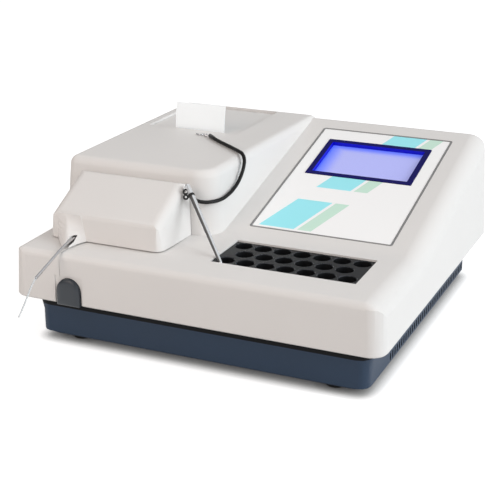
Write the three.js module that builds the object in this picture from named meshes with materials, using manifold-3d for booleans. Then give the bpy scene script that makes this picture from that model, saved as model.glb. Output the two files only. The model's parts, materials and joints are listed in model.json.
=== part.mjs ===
// Bench-top clinical chemistry analyzer: a pale drafted housing on a dark base tray, with a
// 20-well incubator in its front ledge, a display panel on its sloped console, a raised block
// with a strip printer, and a hinged hood over the pump and flow cell.
// Millimetres, +Z up. The front faces -Y and the origin is on the bench below the middle.
import * as THREE from 'three';
import { mergeVertices } from 'three/addons/utils/BufferGeometryUtils.js';
import Module from 'manifold-3d';

const wasm = await Module();
wasm.setup();

// Driving dimensions of the housing
const housing_depth = 364;
const rim_height = 47;
const ledge_height = 94.6;
const block_step = 0.0755;
const housing_wall = 3;
const draft_angle = 2.6;
const ledge_angle = 1;
const console_angle = 13.8;

// Clearances shared by all pieces
const seat_gap = 0.3;
const running_gap = 0.4;
const overrun = 2;
const flush_margin = 0.02;
const weld_distance = 0.0001;
const least_radius = 0.5;

// Incubator wells, and the window that they need in the ledge
const well_radius = 8.1;
const well_chamfer = 0.6;
const well_cone = 2.5;
const well_pitch_x = 19.3;
const well_pitch_y = 20.2;
const well_depth = 34;
const well_floor = 6;
const well_columns = [7, 6, 7];
const well_margin_x = 2.8;
const well_margin_y = 1.45;
const window_width = (Math.max(...well_columns) - 1) * well_pitch_x
  + 2 * (well_radius + well_margin_x);
const window_length = (well_columns.length - 1) * well_pitch_y
  + 2 * (well_radius + well_margin_y);

// Across the ledge, from the left: the hood with its flow cell and pump, then the window
const hood_left_margin = 17;
const cell_left_margin = 31;
const cell_width = 28;
const cell_pump_gap = 9.5;
const pump_size = 41;
const pump_right_margin = 15.5;
const hood_window_gap = 45.7;
const window_right_margin = 38.7;
const hood_width = cell_left_margin + cell_width + cell_pump_gap + pump_size
  + pump_right_margin;
const housing_width = hood_left_margin + hood_width + hood_window_gap + window_width
  + window_right_margin;

// Along the ledge, from its front edge to the kink where the console starts
const window_front_margin = 39.5;
const window_rear_margin = 17.5;
const ledge_depth = window_front_margin + window_length + window_rear_margin;

const radians = THREE.MathUtils.degToRad;
const draft_share = Math.tan(radians(draft_angle));
const ledge_slope_share = Math.tan(radians(ledge_angle));
const console_slope_share = Math.tan(radians(console_angle));
const housing_left = -housing_width / 2;
const housing_right = housing_width / 2;
const housing_front = -housing_depth / 2;
const housing_back = housing_depth / 2;
const kink_y = housing_front + ledge_depth;
const kink_height = ledge_height + ledge_depth * ledge_slope_share;
const block_height = kink_height + (housing_back - kink_y) * console_slope_share + block_step;
const hood_x = [
  housing_left + hood_left_margin, housing_left + hood_left_margin + hood_width];
const cell_x = [hood_x[0] + cell_left_margin, hood_x[0] + cell_left_margin + cell_width];
const window_x = [hood_x[1] + hood_window_gap, hood_x[1] + hood_window_gap + window_width];
const window_y = [
  housing_front + window_front_margin, housing_front + window_front_margin + window_length];

// Solids: every function below takes and returns plain BufferGeometry

function signedVolume(geometry) {
  const place = geometry.attributes.position;
  const corner = [new THREE.Vector3(), new THREE.Vector3(), new THREE.Vector3()];
  let volume = 0;
  for (let i = 0; i < geometry.index.count; i += corner.length) {
    corner.forEach((point, k) => point.fromBufferAttribute(place, geometry.index.getX(i + k)));
    volume += corner[0].dot(corner[1].clone().cross(corner[2]));
  }
  return volume;
}

function solidOf(geometry) {
  const bare = new THREE.BufferGeometry();
  bare.setAttribute('position', geometry.attributes.position);
  bare.setIndex(geometry.index);
  const welded = mergeVertices(bare, weld_distance);
  const triVerts = new Uint32Array(welded.index.array);
  if (signedVolume(welded) < 0) triVerts.reverse();
  const vertProperties = new Float32Array(welded.attributes.position.array);
  return new wasm.Manifold(new wasm.Mesh({ numProp: 3, vertProperties, triVerts }));
}

function geometryOf(solid) {
  const mesh = solid.getMesh();
  const geometry = new THREE.BufferGeometry();
  const places = new Float32Array(mesh.vertProperties);
  geometry.setAttribute('position', new THREE.BufferAttribute(places, 3));
  geometry.setIndex(new THREE.BufferAttribute(new Uint32Array(mesh.triVerts), 1));
  geometry.computeVertexNormals();
  return geometry;
}

function join(...parts) {
  return geometryOf(parts.map(solidOf).reduce((whole, next) => whole.add(next)));
}

function cut(body, ...tools) {
  return geometryOf(tools.map(solidOf).reduce((rest, tool) => rest.subtract(tool), solidOf(body)));
}

function common(first, second) {
  return geometryOf(solidOf(first).intersect(solidOf(second)));
}

// A span is [low, high] along one axis
const span = (middle, width) => [middle - width / 2, middle + width / 2];
const grown = (range, by) => [range[0] - by, range[1] + by];
const middleOf = (range) => (range[0] + range[1]) / 2;
const widthOf = (range) => range[1] - range[0];

function box(x, y, z) {
  const block = new THREE.BoxGeometry(widthOf(x), widthOf(y), widthOf(z));
  return block.translate(middleOf(x), middleOf(y), middleOf(z));
}

const axis_turns = {
  x: new THREE.Matrix4().makeRotationZ(-Math.PI / 2),
  y: new THREE.Matrix4(),
  z: new THREE.Matrix4().makeRotationX(Math.PI / 2),
};

// A rod along one axis; the place is its centre, and the span gives its two ends
function rod(axis, radius, ends, place, sides = 20, far_radius = radius) {
  const round = new THREE.CylinderGeometry(far_radius, radius, widthOf(ends), sides);
  round.applyMatrix4(axis_turns[axis]);
  const centre = new THREE.Vector3(place[0], place[1], middleOf(ends));
  if (axis === 'x') centre.set(middleOf(ends), place[0], place[1]);
  if (axis === 'y') centre.set(place[0], middleOf(ends), place[1]);
  return round.translate(centre.x, centre.y, centre.z);
}

// A solid turned about Z from [radius, height] points that start and end on the axis
function turned(points, sides = 24) {
  const outline = points.map(([radius, height]) => new THREE.Vector2(radius, height));
  return new THREE.LatheGeometry(outline, sides).rotateX(Math.PI / 2);
}

const shapeOf = (points) => new THREE.Shape(points.map(([a, b]) => new THREE.Vector2(a, b)));

function plate(shape, z, curveSegments = 8) {
  const settings = { depth: widthOf(z), bevelEnabled: false, curveSegments };
  return new THREE.ExtrudeGeometry(shape, settings).translate(0, 0, z[0]);
}

// Outlines drawn in (y, z) and pulled along X, or drawn in (x, z) and pulled along Y
const along_x = new THREE.Matrix4().set(0, 0, 1, 0, 1, 0, 0, 0, 0, 1, 0, 0, 0, 0, 0, 1);
const along_y = new THREE.Matrix4().set(1, 0, 0, 0, 0, 0, -1, 0, 0, 1, 0, 0, 0, 0, 0, 1);

function pulledX(shape, x, curveSegments) {
  return plate(shape, x, curveSegments).applyMatrix4(along_x);
}

function pulledY(shape, y, curveSegments) {
  return plate(shape, [-y[1], -y[0]], curveSegments).applyMatrix4(along_y);
}

function capOf(ring) {
  const normal = new THREE.Vector3();
  ring.forEach((point, i) => {
    const next = ring[(i + 1) % ring.length];
    normal.add(point.clone().cross(next));
  });
  const size = [Math.abs(normal.x), Math.abs(normal.y), Math.abs(normal.z)];
  const dropped = size.indexOf(Math.max(...size));
  const axes = ['x', 'y', 'z'].filter((name, k) => k !== dropped);
  const flat = ring.map((point) => new THREE.Vector2(point[axes[0]], point[axes[1]]));
  const ring_area = THREE.ShapeUtils.area(flat);
  return THREE.ShapeUtils.triangulateShape(flat, []).map((face) => {
    const face_area = THREE.ShapeUtils.area(face.map((k) => flat[k]));
    return face_area * ring_area < 0 ? [face[0], face[2], face[1]] : face;
  });
}

// A skin through rings of equally many points, closed at both ends
function loft(rings) {
  const count = rings[0].length;
  const places = rings.flat().flatMap((point) => [point.x, point.y, point.z]);
  const faces = [];
  rings.slice(1).forEach((ring, level) => {
    ring.forEach((point, i) => {
      const a = level * count + i;
      const b = level * count + ((i + 1) % count);
      faces.push(a, b, b + count, a, b + count, a + count);
    });
  });
  capOf(rings[0]).forEach((face) => faces.push(face[0], face[2], face[1]));
  const last = (rings.length - 1) * count;
  capOf(rings.at(-1)).forEach((face) => faces.push(...face.map((k) => last + k)));
  const geometry = new THREE.BufferGeometry();
  geometry.setAttribute('position', new THREE.Float32BufferAttribute(places, 3));
  geometry.setIndex(faces);
  return geometry;
}

// Points of an arc in a plane, from one angle to another in degrees
function arc(centre, radius, from, to, steps) {
  return Array.from({ length: steps + 1 }, (unused, i) => {
    const angle = radians(from + ((to - from) * i) / steps);
    return [centre[0] + radius * Math.cos(angle), centre[1] + radius * Math.sin(angle)];
  });
}

function roundedOutline(x, y, radius, steps) {
  const r = Math.max(radius, least_radius);
  return [
    ...arc([x[1] - r, y[0] + r], r, -90, 0, steps),
    ...arc([x[1] - r, y[1] - r], r, 0, 90, steps),
    ...arc([x[0] + r, y[1] - r], r, 90, 180, steps),
    ...arc([x[0] + r, y[0] + r], r, 180, 270, steps),
  ];
}

const levelRing = (points, z) => points.map(([x, y]) => new THREE.Vector3(x, y, z));

// A round tube of one piece along a smooth route
function tube(route, radius, sides, steps) {
  const path = new THREE.CatmullRomCurve3(route.map((point) => new THREE.Vector3(...point)));
  const section = shapeOf(arc([0, 0], radius, 0, 360, sides).slice(0, sides));
  return new THREE.ExtrudeGeometry(section, { steps, bevelEnabled: false, extrudePath: path });
}

// Finishes
const finish = (color, roughness, metalness = 0) =>
  new THREE.MeshStandardMaterial({ color, roughness, metalness });
const pale_plastic = finish(0xdcd9d4, 0.5);
const dark_plastic = finish(0x39485a, 0.55);
const slate_plastic = finish(0x3e444c, 0.5);
const black_anodised = finish(0x202224, 0.45, 0.4);
const black_rubber = finish(0x161616, 0.85);
const steel = finish(0xc4c6c8, 0.25, 1);
const zinc_sheet = finish(0xa9adb0, 0.45, 0.8);
const panel_print = finish(0xf2f5f6, 0.4);
const navy_plastic = finish(0x1c1a6e, 0.4);
const lit_glass = finish(0xaeb2ee, 0.15);
const board_green = finish(0x1f5c3a, 0.6);
const paper_white = finish(0xf7f7f5, 0.9);
const clear_tube = finish(0xdfe6ea, 0.2);
const aluminium = finish(0xb8bbbe, 0.35, 0.9);
const black_plastic = finish(0x1b1c1e, 0.5);

const analyzer = new THREE.Group();

function add(name, geometry, material, holder = analyzer) {
  const mesh = new THREE.Mesh(geometry, material);
  mesh.name = name;
  holder.add(mesh);
  return mesh;
}

// The console frame has X across, Y up the slope and Z out of the console, from the kink line
const console_frame = new THREE.Group();
console_frame.position.set(0, kink_y, kink_height);
console_frame.rotation.x = radians(console_angle);
console_frame.updateMatrix();
analyzer.add(console_frame);

// The rear frame has X across, Y out of the rear wall and Z up the drafted wall, from its rim
const rear_frame = new THREE.Group();
rear_frame.position.set(0, housing_back, rim_height);
rear_frame.rotation.x = radians(draft_angle);
rear_frame.updateMatrix();
analyzer.add(rear_frame);

const onConsole = (geometry) => geometry.applyMatrix4(console_frame.matrix);
const onRear = (geometry) => geometry.applyMatrix4(rear_frame.matrix);

// Upper housing: outer form
const housing_corner_radius = 15;
const rim_round = 1.2;
const right_shoulder_radius = 18;
const left_shoulder_radius = 10;
const ledge_front_radius = 7;
const console_rear_radius = 9;
const kink_fillet = 8;
const hood_front_margin = 37;
const pump_front_margin = 7.5;
const pump_block_margin = 8.5;
const block_setback = hood_front_margin + pump_front_margin + pump_size
  + pump_block_margin;
const block_front_angle = 6;
const block_right_margin = 24;
const block_side_angle = 5;
const block_corner_radius = 22;
const block_left_corner_radius = 8;
const block_edge_radius = 8;
const block_front_y = housing_front + block_setback;
const block_foot_x = hood_x[1] + block_right_margin;

const block_front_share = Math.tan(radians(block_front_angle));
const block_side_share = Math.tan(radians(block_side_angle));

const wallHalf = (half, z) => half - (z - rim_height) * draft_share;
const ledgeHeight = (y) => ledge_height + (y + housing_back) * ledge_slope_share;
const consoleHeight = (y) => kink_height + (y - kink_y) * console_slope_share;
const topHeight = (y) => (y < kink_y ? ledgeHeight(y) : consoleHeight(y));
const blockFront = (z) => block_front_y + (z - ledge_height) * block_front_share;
const blockSide = (y, z) => block_foot_x - (z - topHeight(y)) * block_side_share;

function planForm(inset, steps) {
  const ring = (z, extra) => {
    const half_x = wallHalf(housing_width / 2, z) - inset - extra;
    const half_y = wallHalf(housing_back, z) - inset - extra;
    const outline = roundedOutline(
      [-half_x, half_x], [-half_y, half_y], housing_corner_radius - inset - extra, steps);
    return levelRing(outline, z);
  };
  const top = block_height + overrun;
  if (inset > 0) return loft([ring(rim_height - overrun, 0), ring(top, 0)]);
  return loft([ring(rim_height, rim_round), ring(rim_height + rim_round, 0), ring(top, 0)]);
}

// How far a roundover has dropped and how far in it still is, at an angle from level to upright
function rounding(radius, steps) {
  return Array.from({ length: steps + 1 }, (unused, i) => {
    const angle = (Math.PI / 2) * (i / steps);
    return { drop: radius * (1 - Math.cos(angle)), inward: radius * (1 - Math.sin(angle)) };
  });
}

// Ledge and console: one closed (y, z) outline at each station across the housing
function consoleForm(inset, steps) {
  const floor = rim_height - overrun;
  const slant_inset = inset / Math.cos(radians(console_angle));
  const wall_y = (z) => wallHalf(housing_back, z) - inset + flush_margin;
  const stationRing = (side, { drop, inward }) => {
    const low = drop + inset;
    const low_console = drop + slant_inset;
    const outline = [[-wall_y(floor), floor]];
    const front_radius = Math.max(ledge_front_radius - inset, least_radius);
    rounding(front_radius, steps).reverse().forEach((edge) => {
      const base = ledge_height - low - edge.drop;
      const y = -wall_y(base) + edge.inward;
      outline.push([y, base + (y + housing_back) * ledge_slope_share]);
    });
    const kink = new THREE.QuadraticBezierCurve(
      new THREE.Vector2(kink_y - kink_fillet, ledgeHeight(kink_y - kink_fillet) - low),
      new THREE.Vector2(kink_y, kink_height - low),
      new THREE.Vector2(kink_y + kink_fillet, consoleHeight(kink_y + kink_fillet) - low_console),
    );
    kink.getPoints(Math.ceil(steps / 2)).forEach((point) => outline.push([point.x, point.y]));
    const rear_radius = Math.max(console_rear_radius - inset, least_radius);
    rounding(rear_radius, steps).forEach((edge) => {
      const level = consoleHeight(housing_back) - low_console - edge.drop;
      const y = wall_y(level) - edge.inward;
      outline.push([y, level - (housing_back - y) * console_slope_share]);
    });
    outline.push([wall_y(floor), floor]);
    return outline.map(([y, z]) => {
      const x = wallHalf(housing_width / 2, z) - inset + flush_margin - inward;
      return new THREE.Vector3(side * x, y, z);
    });
  };
  const left_radius = Math.max(left_shoulder_radius - inset, least_radius);
  const right_radius = Math.max(right_shoulder_radius - inset, least_radius);
  return loft([
    ...rounding(left_radius, steps).reverse().map((edge) => stationRing(-1, edge)),
    ...rounding(right_radius, steps).map((edge) => stationRing(1, edge)),
  ]);
}

// Raised block: level rings, with its front and right walls leaning in
function blockForm(inset, steps) {
  const top = block_height - inset;
  const ring = (z, inward) => {
    const left = -(wallHalf(housing_width / 2, z) - inset + flush_margin - inward);
    const rear = wallHalf(housing_back, z) - inset + flush_margin - inward;
    const front = blockFront(z) + inset + inward;
    const corner = Math.max(block_corner_radius - inset - inward, least_radius);
    const left_corner = Math.max(block_left_corner_radius - inset - inward, least_radius);
    const side = (y) => blockSide(y, z) - inset - inward;
    const turn_y = front + corner;
    const outline = [
      ...arc([side(turn_y) - corner, turn_y], corner, -90, 0, steps),
      [side(rear), rear],
      [left, rear],
      ...arc([left + left_corner, front + left_corner], left_corner, 180, 270, steps),
    ];
    return levelRing(outline, z);
  };
  const edge_radius = Math.max(block_edge_radius - inset, least_radius);
  return loft([
    ring(rim_height - overrun, 0),
    ...rounding(edge_radius, steps).reverse().map((edge) => ring(top - edge.drop, edge.inward)),
  ]);
}

const housingForm = (inset, steps) =>
  common(planForm(inset, steps), join(consoleForm(inset, steps), blockForm(inset, steps)));

// Collar round the incubator window
const collar_wall = 2;
const collar_depth = 8;
const block_recess = 0.5;
const incubator_top = ledgeHeight(window_y[0]) - block_recess;
const incubator_bottom = incubator_top - well_depth - well_floor;

// Graphic panel and display, in the console frame
const panel_left_overhang = 2.3;
const panel_right_overhang = 3.3;
const panel_start = 14.1;
const panel_rear_margin = 31.757;
const panel_pocket = 1.2;
const panel_radius = 2;
const trim_width = 2;
const trim_proud = 0.3;
const sheet_thickness = 0.8;
const display_left_margin = 15.1;
const display_right_margin = 15.8;
const display_rear_margin = 23.9;
const display_length = 74.9;
const bezel_bar = 5.8;
const bezel_proud = 0.5;
const bezel_skirt_wall = 2;
const bezel_depth = 6;
const glass_thickness = 2.5;
const display_flange = 7;
const display_post_radius = 3;
const console_length = (housing_back - kink_y) / Math.cos(radians(console_angle));
const panel_x = [window_x[0] - panel_left_overhang, window_x[1] + panel_right_overhang];
const panel_y = [panel_start, console_length - panel_rear_margin];
const display_x = [panel_x[0] + display_left_margin, panel_x[1] - display_right_margin];
const display_back = panel_y[1] - display_rear_margin;
const display_y = [display_back - display_length, display_back];
const aperture_x = grown(display_x, -bezel_bar);
const aperture_y = grown(display_y, -bezel_bar);
const skirt_x = grown(aperture_x, bezel_skirt_wall);
const skirt_y = grown(aperture_y, bezel_skirt_wall);
const module_x = grown(skirt_x, display_flange);
const module_y = grown(skirt_y, display_flange);

// Screw posts that carry the housing on the tray
const post_inset = 34;
const post_radius = 6;
const lip_rise = 13;
const post_top = rim_height + lip_rise;
const boss_height = 30;
const post_places = [[-1, -1], [1, -1], [1, 1], [-1, 1]].map(([side_x, side_y]) => [
  side_x * (housing_width / 2 - post_inset), side_y * (housing_back - post_inset)]);

// Sip button and the recess round it
const button_offset = 45;
const button_width = 24;
const button_rise = 25;
const button_dip = 1;
const button_proud = 1.2;
const button_travel = 4;
const button_flange = 2;
const button_flange_thickness = 2;
const recess_margin = 2;
const recess_depth = 0.8;
const groove_width = 1;
const groove_depth = 1;
const groove_offset = 9;
const groove_length = 10;
const button_x = hood_x[0] + button_offset;
const button_top = rim_height + button_rise;
const button_bottom = rim_height - button_dip;
const groove_x = button_x - groove_offset;

function archShape(half_width, bottom, top) {
  return shapeOf([
    [button_x - half_width, bottom],
    [button_x + half_width, bottom],
    ...arc([button_x, top - half_width], half_width, 0, 180, 12),
  ]);
}

// Printer bay in the top of the block
const recess_left_margin = 19;
const recess_right_margin = 43;
const recess_back_margin = 14;
const recess_length = 108.5;
const lid_drop = 2.5;
const lid_thickness = 2.5;
const pan_thickness = 6;
const paper_width = 57;
const paper_offset = 59;
const roll_radius = 20;
const roll_front_gap = 12;
const roll_top_gap = 5.2;
const cradle_angles = [210, 360];
const bay_side = 3;
const bay_wall = 2;
const mechanism_front_gap = 0.7;
const mechanism_depth = 25.8;
const mechanism_height = 32;
const lid_hinge_radius = 2.8;
const lid_stub_radius = 1.2;
const lid_stub_length = 3;
const recess_x = [housing_left + recess_left_margin, block_foot_x - recess_right_margin];
const recess_back = housing_back - recess_back_margin;
const recess_y = [recess_back - recess_length, recess_back];
const paper_x = recess_x[0] + paper_offset;
const mechanism_front = recess_y[0] + mechanism_front_gap;
const mechanism_y = [mechanism_front, mechanism_front + mechanism_depth];
const lid_top = block_height - lid_drop;
const recess_floor = lid_top - lid_thickness - seat_gap;
const roll_y = mechanism_y[1] + roll_front_gap + roll_radius;
const roll_z = recess_floor - roll_top_gap - roll_radius;
const pan_bottom = recess_floor - pan_thickness;
const lid_hinge_y = recess_y[1] - running_gap - lid_hinge_radius;
const lid_hinge_z = lid_top - lid_hinge_radius;
const mechanism_top = recess_floor - seat_gap;
const mechanism_bottom = mechanism_top - mechanism_height;
const bay_x = span(paper_x, paper_width + 2 * bay_side);

// Outline of the bay in (y, z), grown by a wall: printer pocket in front, paper cradle behind
function bayShape(by, top) {
  const radius = roll_radius + running_gap + by;
  const pocket_front = mechanism_y[0] - running_gap - by;
  const pocket_back = mechanism_y[1] + running_gap + by;
  const pocket_floor = mechanism_bottom - running_gap - by;
  return shapeOf([
    [pocket_front, top],
    [pocket_front, pocket_floor],
    [pocket_back, pocket_floor],
    [pocket_back, roll_z - radius / 2],
    ...arc([roll_y, roll_z], radius, ...cradle_angles, 12),
    [roll_y + radius, top],
  ]);
}

// Rear opening, in the rear frame
const rear_side_margin = 52;
const rear_opening_bottom = 10;
const rear_opening_height = 72;
const rear_opening_x = [housing_left + rear_side_margin, housing_right - rear_side_margin];
const rear_opening_z = [rear_opening_bottom, rear_opening_bottom + rear_opening_height];
const rear_lap = 4;
const rear_sheet = 1.5;

// Openings of the ledge and the block's front wall under the hood
const hood_floor = ledgeHeight(block_front_y) + seat_gap;
const hinge_foot_back = blockFront(hood_floor) - seat_gap;
const hinge_foot_length = 6.8;
const pump_hinge_gap = 1.604;
const pump_shaft_radius = 3;
const beam_offset = 16;
const beam_rise = 15.4;
const beam_radius = 4;
const pump_x = hood_x[1] - pump_right_margin - pump_size / 2;
const pump_y = hinge_foot_back - hinge_foot_length - pump_hinge_gap - pump_size / 2;
const beam_x = cell_x[0] + beam_offset;
const beam_z = ledge_height + beam_rise;

function upperHousing() {
  const outer = housingForm(0, 6);
  const inner = housingForm(housing_wall, 3);
  let shell = cut(outer, inner);

  // Collar that hangs round the incubator window
  const collar_z = [ledge_height - housing_wall - collar_depth, ledge_height - housing_wall / 2];
  const collar = box(grown(window_x, collar_wall), grown(window_y, collar_wall), collar_z);
  const window = box(window_x, window_y, grown(collar_z, housing_wall + overrun));

  // Posts under the console that the display module is screwed to
  const display_posts = [module_x[0], module_x[1]].flatMap((x, i) =>
    [module_y[0], module_y[1]].map((y, k) => onConsole(rod('z', display_post_radius,
      [-bezel_depth, -housing_wall / 2],
      [x + (i ? -1 : 1) * display_post_radius, y + (k ? -1 : 1) * display_post_radius], 10))));

  // Screw bosses, trimmed by the housing's own outer form
  const bosses = post_places.map((place) => rod('z', post_radius,
    [post_top + seat_gap, block_height], place, 12));
  const bores = post_places.map((place) => rod('z', screw_bore_radius,
    [post_top - overrun, post_top + boss_height], place, 8));

  // Printer bay, trimmed in the same way
  const pan = box(grown(recess_x, housing_wall), grown(recess_y, housing_wall),
    [pan_bottom, block_height]);
  const bucket = pulledX(bayShape(bay_wall, recess_floor), grown(bay_x, bay_wall));
  const additions = common(join(...bosses, pan), outer);
  shell = join(shell, additions, collar, bucket, ...display_posts);

  const bay = pulledX(bayShape(0, block_height + overrun), bay_x);
  const recess = box(recess_x, recess_y, [recess_floor, block_height + overrun]);
  const trough = box(recess_x, [lid_hinge_y - lid_hinge_radius - running_gap, recess_y[1]],
    [lid_hinge_z - lid_hinge_radius - running_gap, block_height]);
  const stubs = rod('x', lid_stub_radius + seat_gap,
    grown(recess_x, lid_stub_length + running_gap), [lid_hinge_y, lid_hinge_z], 10);

  // Panel pocket and display aperture
  const pocket = onConsole(plate(shapeOf(roundedOutline(panel_x, panel_y, panel_radius, 2)),
    [-panel_pocket, housing_wall]));
  const aperture = onConsole(box(grown(skirt_x, running_gap), grown(skirt_y, running_gap),
    [-housing_wall - overrun, housing_wall]));

  // Arch for the sip button, the shallow recess round it, and the groove above
  const wall_y = wallHalf(housing_back, button_top);
  const half_button = button_width / 2 + running_gap;
  const arch = pulledY(archShape(half_button, rim_height - overrun, button_top + running_gap),
    [-housing_back - overrun, -housing_back + 2 * housing_wall]);
  const half_recess = half_button + recess_margin;
  const front_recess = box(span(button_x, 2 * half_recess),
    [-housing_back - overrun, -wall_y + recess_depth],
    [rim_height - overrun, button_top + recess_margin]);
  const groove = box(span(groove_x, groove_width),
    [-housing_back - overrun, -wall_y + groove_depth],
    [button_top, ledge_height + overrun]);
  const groove_top = box(span(groove_x, groove_width),
    [-housing_back - overrun, -housing_back + groove_length + ledge_front_radius],
    [ledge_height - groove_depth, ledge_height + overrun]);

  // Rear opening, pump shaft hole and light path
  const rear_opening = onRear(box(rear_opening_x, grown([-housing_wall, 0], overrun),
    rear_opening_z));
  const shaft_hole = rod('z', pump_shaft_radius + running_gap,
    grown([ledge_height - housing_wall, ledge_height], overrun), [pump_x, pump_y], 12);
  const front_wall_y = blockFront(beam_z);
  const light_hole = rod('y', beam_radius, grown([front_wall_y, front_wall_y + housing_wall],
    overrun), [beam_x, beam_z], 12);
  return cut(shell, window, bay, recess, trough, stubs, pocket, aperture, arch, front_recess,
    groove, groove_top, rear_opening, shaft_hole, light_hole, ...bores);
}

// Base tray
const tray_bottom = 5;
const neck_gap = 4;
const tray_inset_top = 15;
const tray_inset_bottom = 20;
const tray_corner_radius = 13;
const tray_wall = 2.5;
const tray_floor = 3;
const neck_inset = 3;
const lip_wall = 2.5;
const screw_bore_radius = 1.6;
const screw_head_radius = 3.5;
const screw_head_height = 3;
const foot_radius = 9;
const foot_inset = 36;
const foot_socket = 1.5;
const vent_margin = 38;
const vent_length = 9;
const vent_height = 5;
const vent_pitch = 36;
const floor_vent_count = 8;
const floor_vent_pitch = 14;
const floor_vent_width = 4;
const floor_vent_length = 40;
const floor_vent_back_margin = 42;
const tray_top = rim_height - neck_gap;
const lip_top = rim_height + lip_rise;
const tray_floor_top = tray_bottom + tray_floor;
const vent_count = Math.floor((housing_depth - 2 * vent_margin) / vent_pitch);

function trayRing(z, inset, radius) {
  const half_x = housing_width / 2 - inset;
  const half_y = housing_back - inset;
  return levelRing(roundedOutline([-half_x, half_x], [-half_y, half_y], radius, 3), z);
}

function baseTray() {
  const neck = tray_inset_top + neck_inset;
  const bottom_edge = rim_round * 2;
  const outer = join(
    loft([
      trayRing(tray_bottom, tray_inset_bottom + bottom_edge, tray_corner_radius - bottom_edge),
      trayRing(tray_bottom + bottom_edge, tray_inset_bottom, tray_corner_radius),
      trayRing(tray_top, tray_inset_top, tray_corner_radius),
    ]),
    loft([
      trayRing(tray_floor_top, neck, tray_corner_radius - neck_inset),
      trayRing(lip_top, neck, tray_corner_radius - neck_inset),
    ]),
  );
  const hollow_inset = tray_inset_bottom + tray_wall;
  const lip_inset = neck + lip_wall;
  const hollow = loft([
    trayRing(tray_floor_top, hollow_inset, tray_corner_radius - tray_wall),
    trayRing(tray_top - tray_floor, Math.max(lip_inset, tray_inset_top + tray_wall),
      tray_corner_radius - tray_wall),
    trayRing(lip_top + overrun, lip_inset, tray_corner_radius - tray_wall),
  ]);
  const posts = post_places.map((place) => rod('z', post_radius,
    [tray_bottom + tray_floor / 2, post_top], place, 12));
  const bores = post_places.map((place) => rod('z', screw_bore_radius + seat_gap,
    [tray_bottom - overrun, post_top + overrun], place, 8));
  const head_holes = post_places.map((place) => rod('z', screw_head_radius + seat_gap,
    [tray_bottom - overrun, tray_bottom + screw_head_height], place, 12));
  const sockets = footPlaces().map((place) => rod('z', foot_radius + seat_gap,
    [tray_bottom - overrun, tray_bottom + foot_socket], place, 16));
  const vents = [];
  for (let i = 0; i < vent_count; i += 1) {
    const y = (i - (vent_count - 1) / 2) * vent_pitch;
    vents.push(box(grown([-housing_width / 2, housing_width / 2], overrun), span(y, vent_length),
      [tray_top - vent_height, tray_top + overrun]));
  }
  const floor_vents = [];
  const vent_back = housing_back - floor_vent_back_margin;
  for (let i = 0; i < floor_vent_count; i += 1) {
    const x = (i - (floor_vent_count - 1) / 2) * floor_vent_pitch;
    floor_vents.push(box(span(x, floor_vent_width), [vent_back - floor_vent_length, vent_back],
      grown([tray_bottom, tray_floor_top], overrun)));
  }
  const body = join(cut(outer, hollow), ...posts, ...boardPosts());
  return cut(body, ...bores, ...head_holes, ...sockets, ...vents, ...floor_vents);
}

function footPlaces() {
  const x = housing_width / 2 - foot_inset - post_inset / 2;
  const y = housing_back - foot_inset;
  return [[-x, -y], [x, -y], [x, y], [-x, y]];
}

function foot(place) {
  const edge = foot_socket;
  const outline = [
    [0, 0],
    [foot_radius - edge, 0],
    [foot_radius, edge],
    [foot_radius, tray_bottom + foot_socket - seat_gap],
    [0, tray_bottom + foot_socket - seat_gap],
  ];
  return turned(outline, 16).translate(place[0], place[1], 0);
}

function housingScrew(place) {
  const head_bottom = tray_bottom + seat_gap;
  const head_top = tray_bottom + screw_head_height - seat_gap;
  const outline = [
    [0, head_bottom],
    [screw_head_radius, head_bottom],
    [screw_head_radius, head_top],
    [screw_bore_radius - seat_gap, head_top],
    [screw_bore_radius - seat_gap, post_top + boss_height / 2],
    [0, post_top + boss_height / 2],
  ];
  return turned(outline, 8).translate(place[0], place[1], 0);
}

// Main board and power supply on the tray floor, behind the incubator's bracket
const bracket_sheet = 2;
const bracket_foot = 10;
const board_right_margin = 32;
const board_width = 160;
const board_front_gap = 8;
const board_back_gap = 20;
const board_thickness = 1.6;
const board_post_radius = 3;
const board_post_height = 6;
const board_post_inset = 6;
const chip_height = 3;
const chip_size = 16;
const heatsink_height = 22;
const heatsink_size = 30;
const connector_height = 10;
const connector_size = 24;
const supply_right_margin = 48;
const supply_back_margin = 26;
const supply_width = 90;
const supply_length = 76;
const supply_height = 36;
const supply_slot_width = 3;
const supply_slot_pitch = 8;
const supply_right = housing_right - supply_right_margin;
const supply_back = housing_back - supply_back_margin;
const supply_x = [supply_right - supply_width, supply_right];
const supply_y = [supply_back - supply_length, supply_back];
const board_right = housing_right - board_right_margin;
const board_x = [board_right - board_width, board_right];
const board_y = [
  window_y[1] + bracket_foot / 2 + board_front_gap, supply_y[0] - board_back_gap];
const board_bottom = tray_floor_top + board_post_height + seat_gap;

function boardPosts() {
  const x = grown(board_x, -board_post_inset);
  const y = grown(board_y, -board_post_inset);
  return [[x[0], y[0]], [x[1], y[0]], [x[1], y[1]], [x[0], y[1]]].map((place) =>
    rod('z', board_post_radius, [tray_bottom + tray_floor / 2,
      tray_floor_top + board_post_height], place, 10));
}

function mainBoard() {
  const top = board_bottom + board_thickness;
  const part = (share_x, share_y, size_x, size_y, height) => box(
    span(board_x[0] + widthOf(board_x) * share_x, size_x),
    span(board_y[0] + widthOf(board_y) * share_y, size_y),
    [top - board_thickness / 2, top + height]);
  const connector_shares = [0.3, 0.5, 0.7];
  const connectors = connector_shares.map((share) =>
    part(share, 0.9, connector_size, connector_size / 3, connector_height));
  const chip_shares = [0.2, 0.36];
  const chips = chip_shares.map((share) => part(share, 0.5, chip_size, chip_size, chip_height));
  const heatsink = part(0.75, 0.45, heatsink_size, heatsink_size, heatsink_height);
  return join(box(board_x, board_y, [board_bottom, top]), ...connectors, ...chips, heatsink);
}

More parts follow.
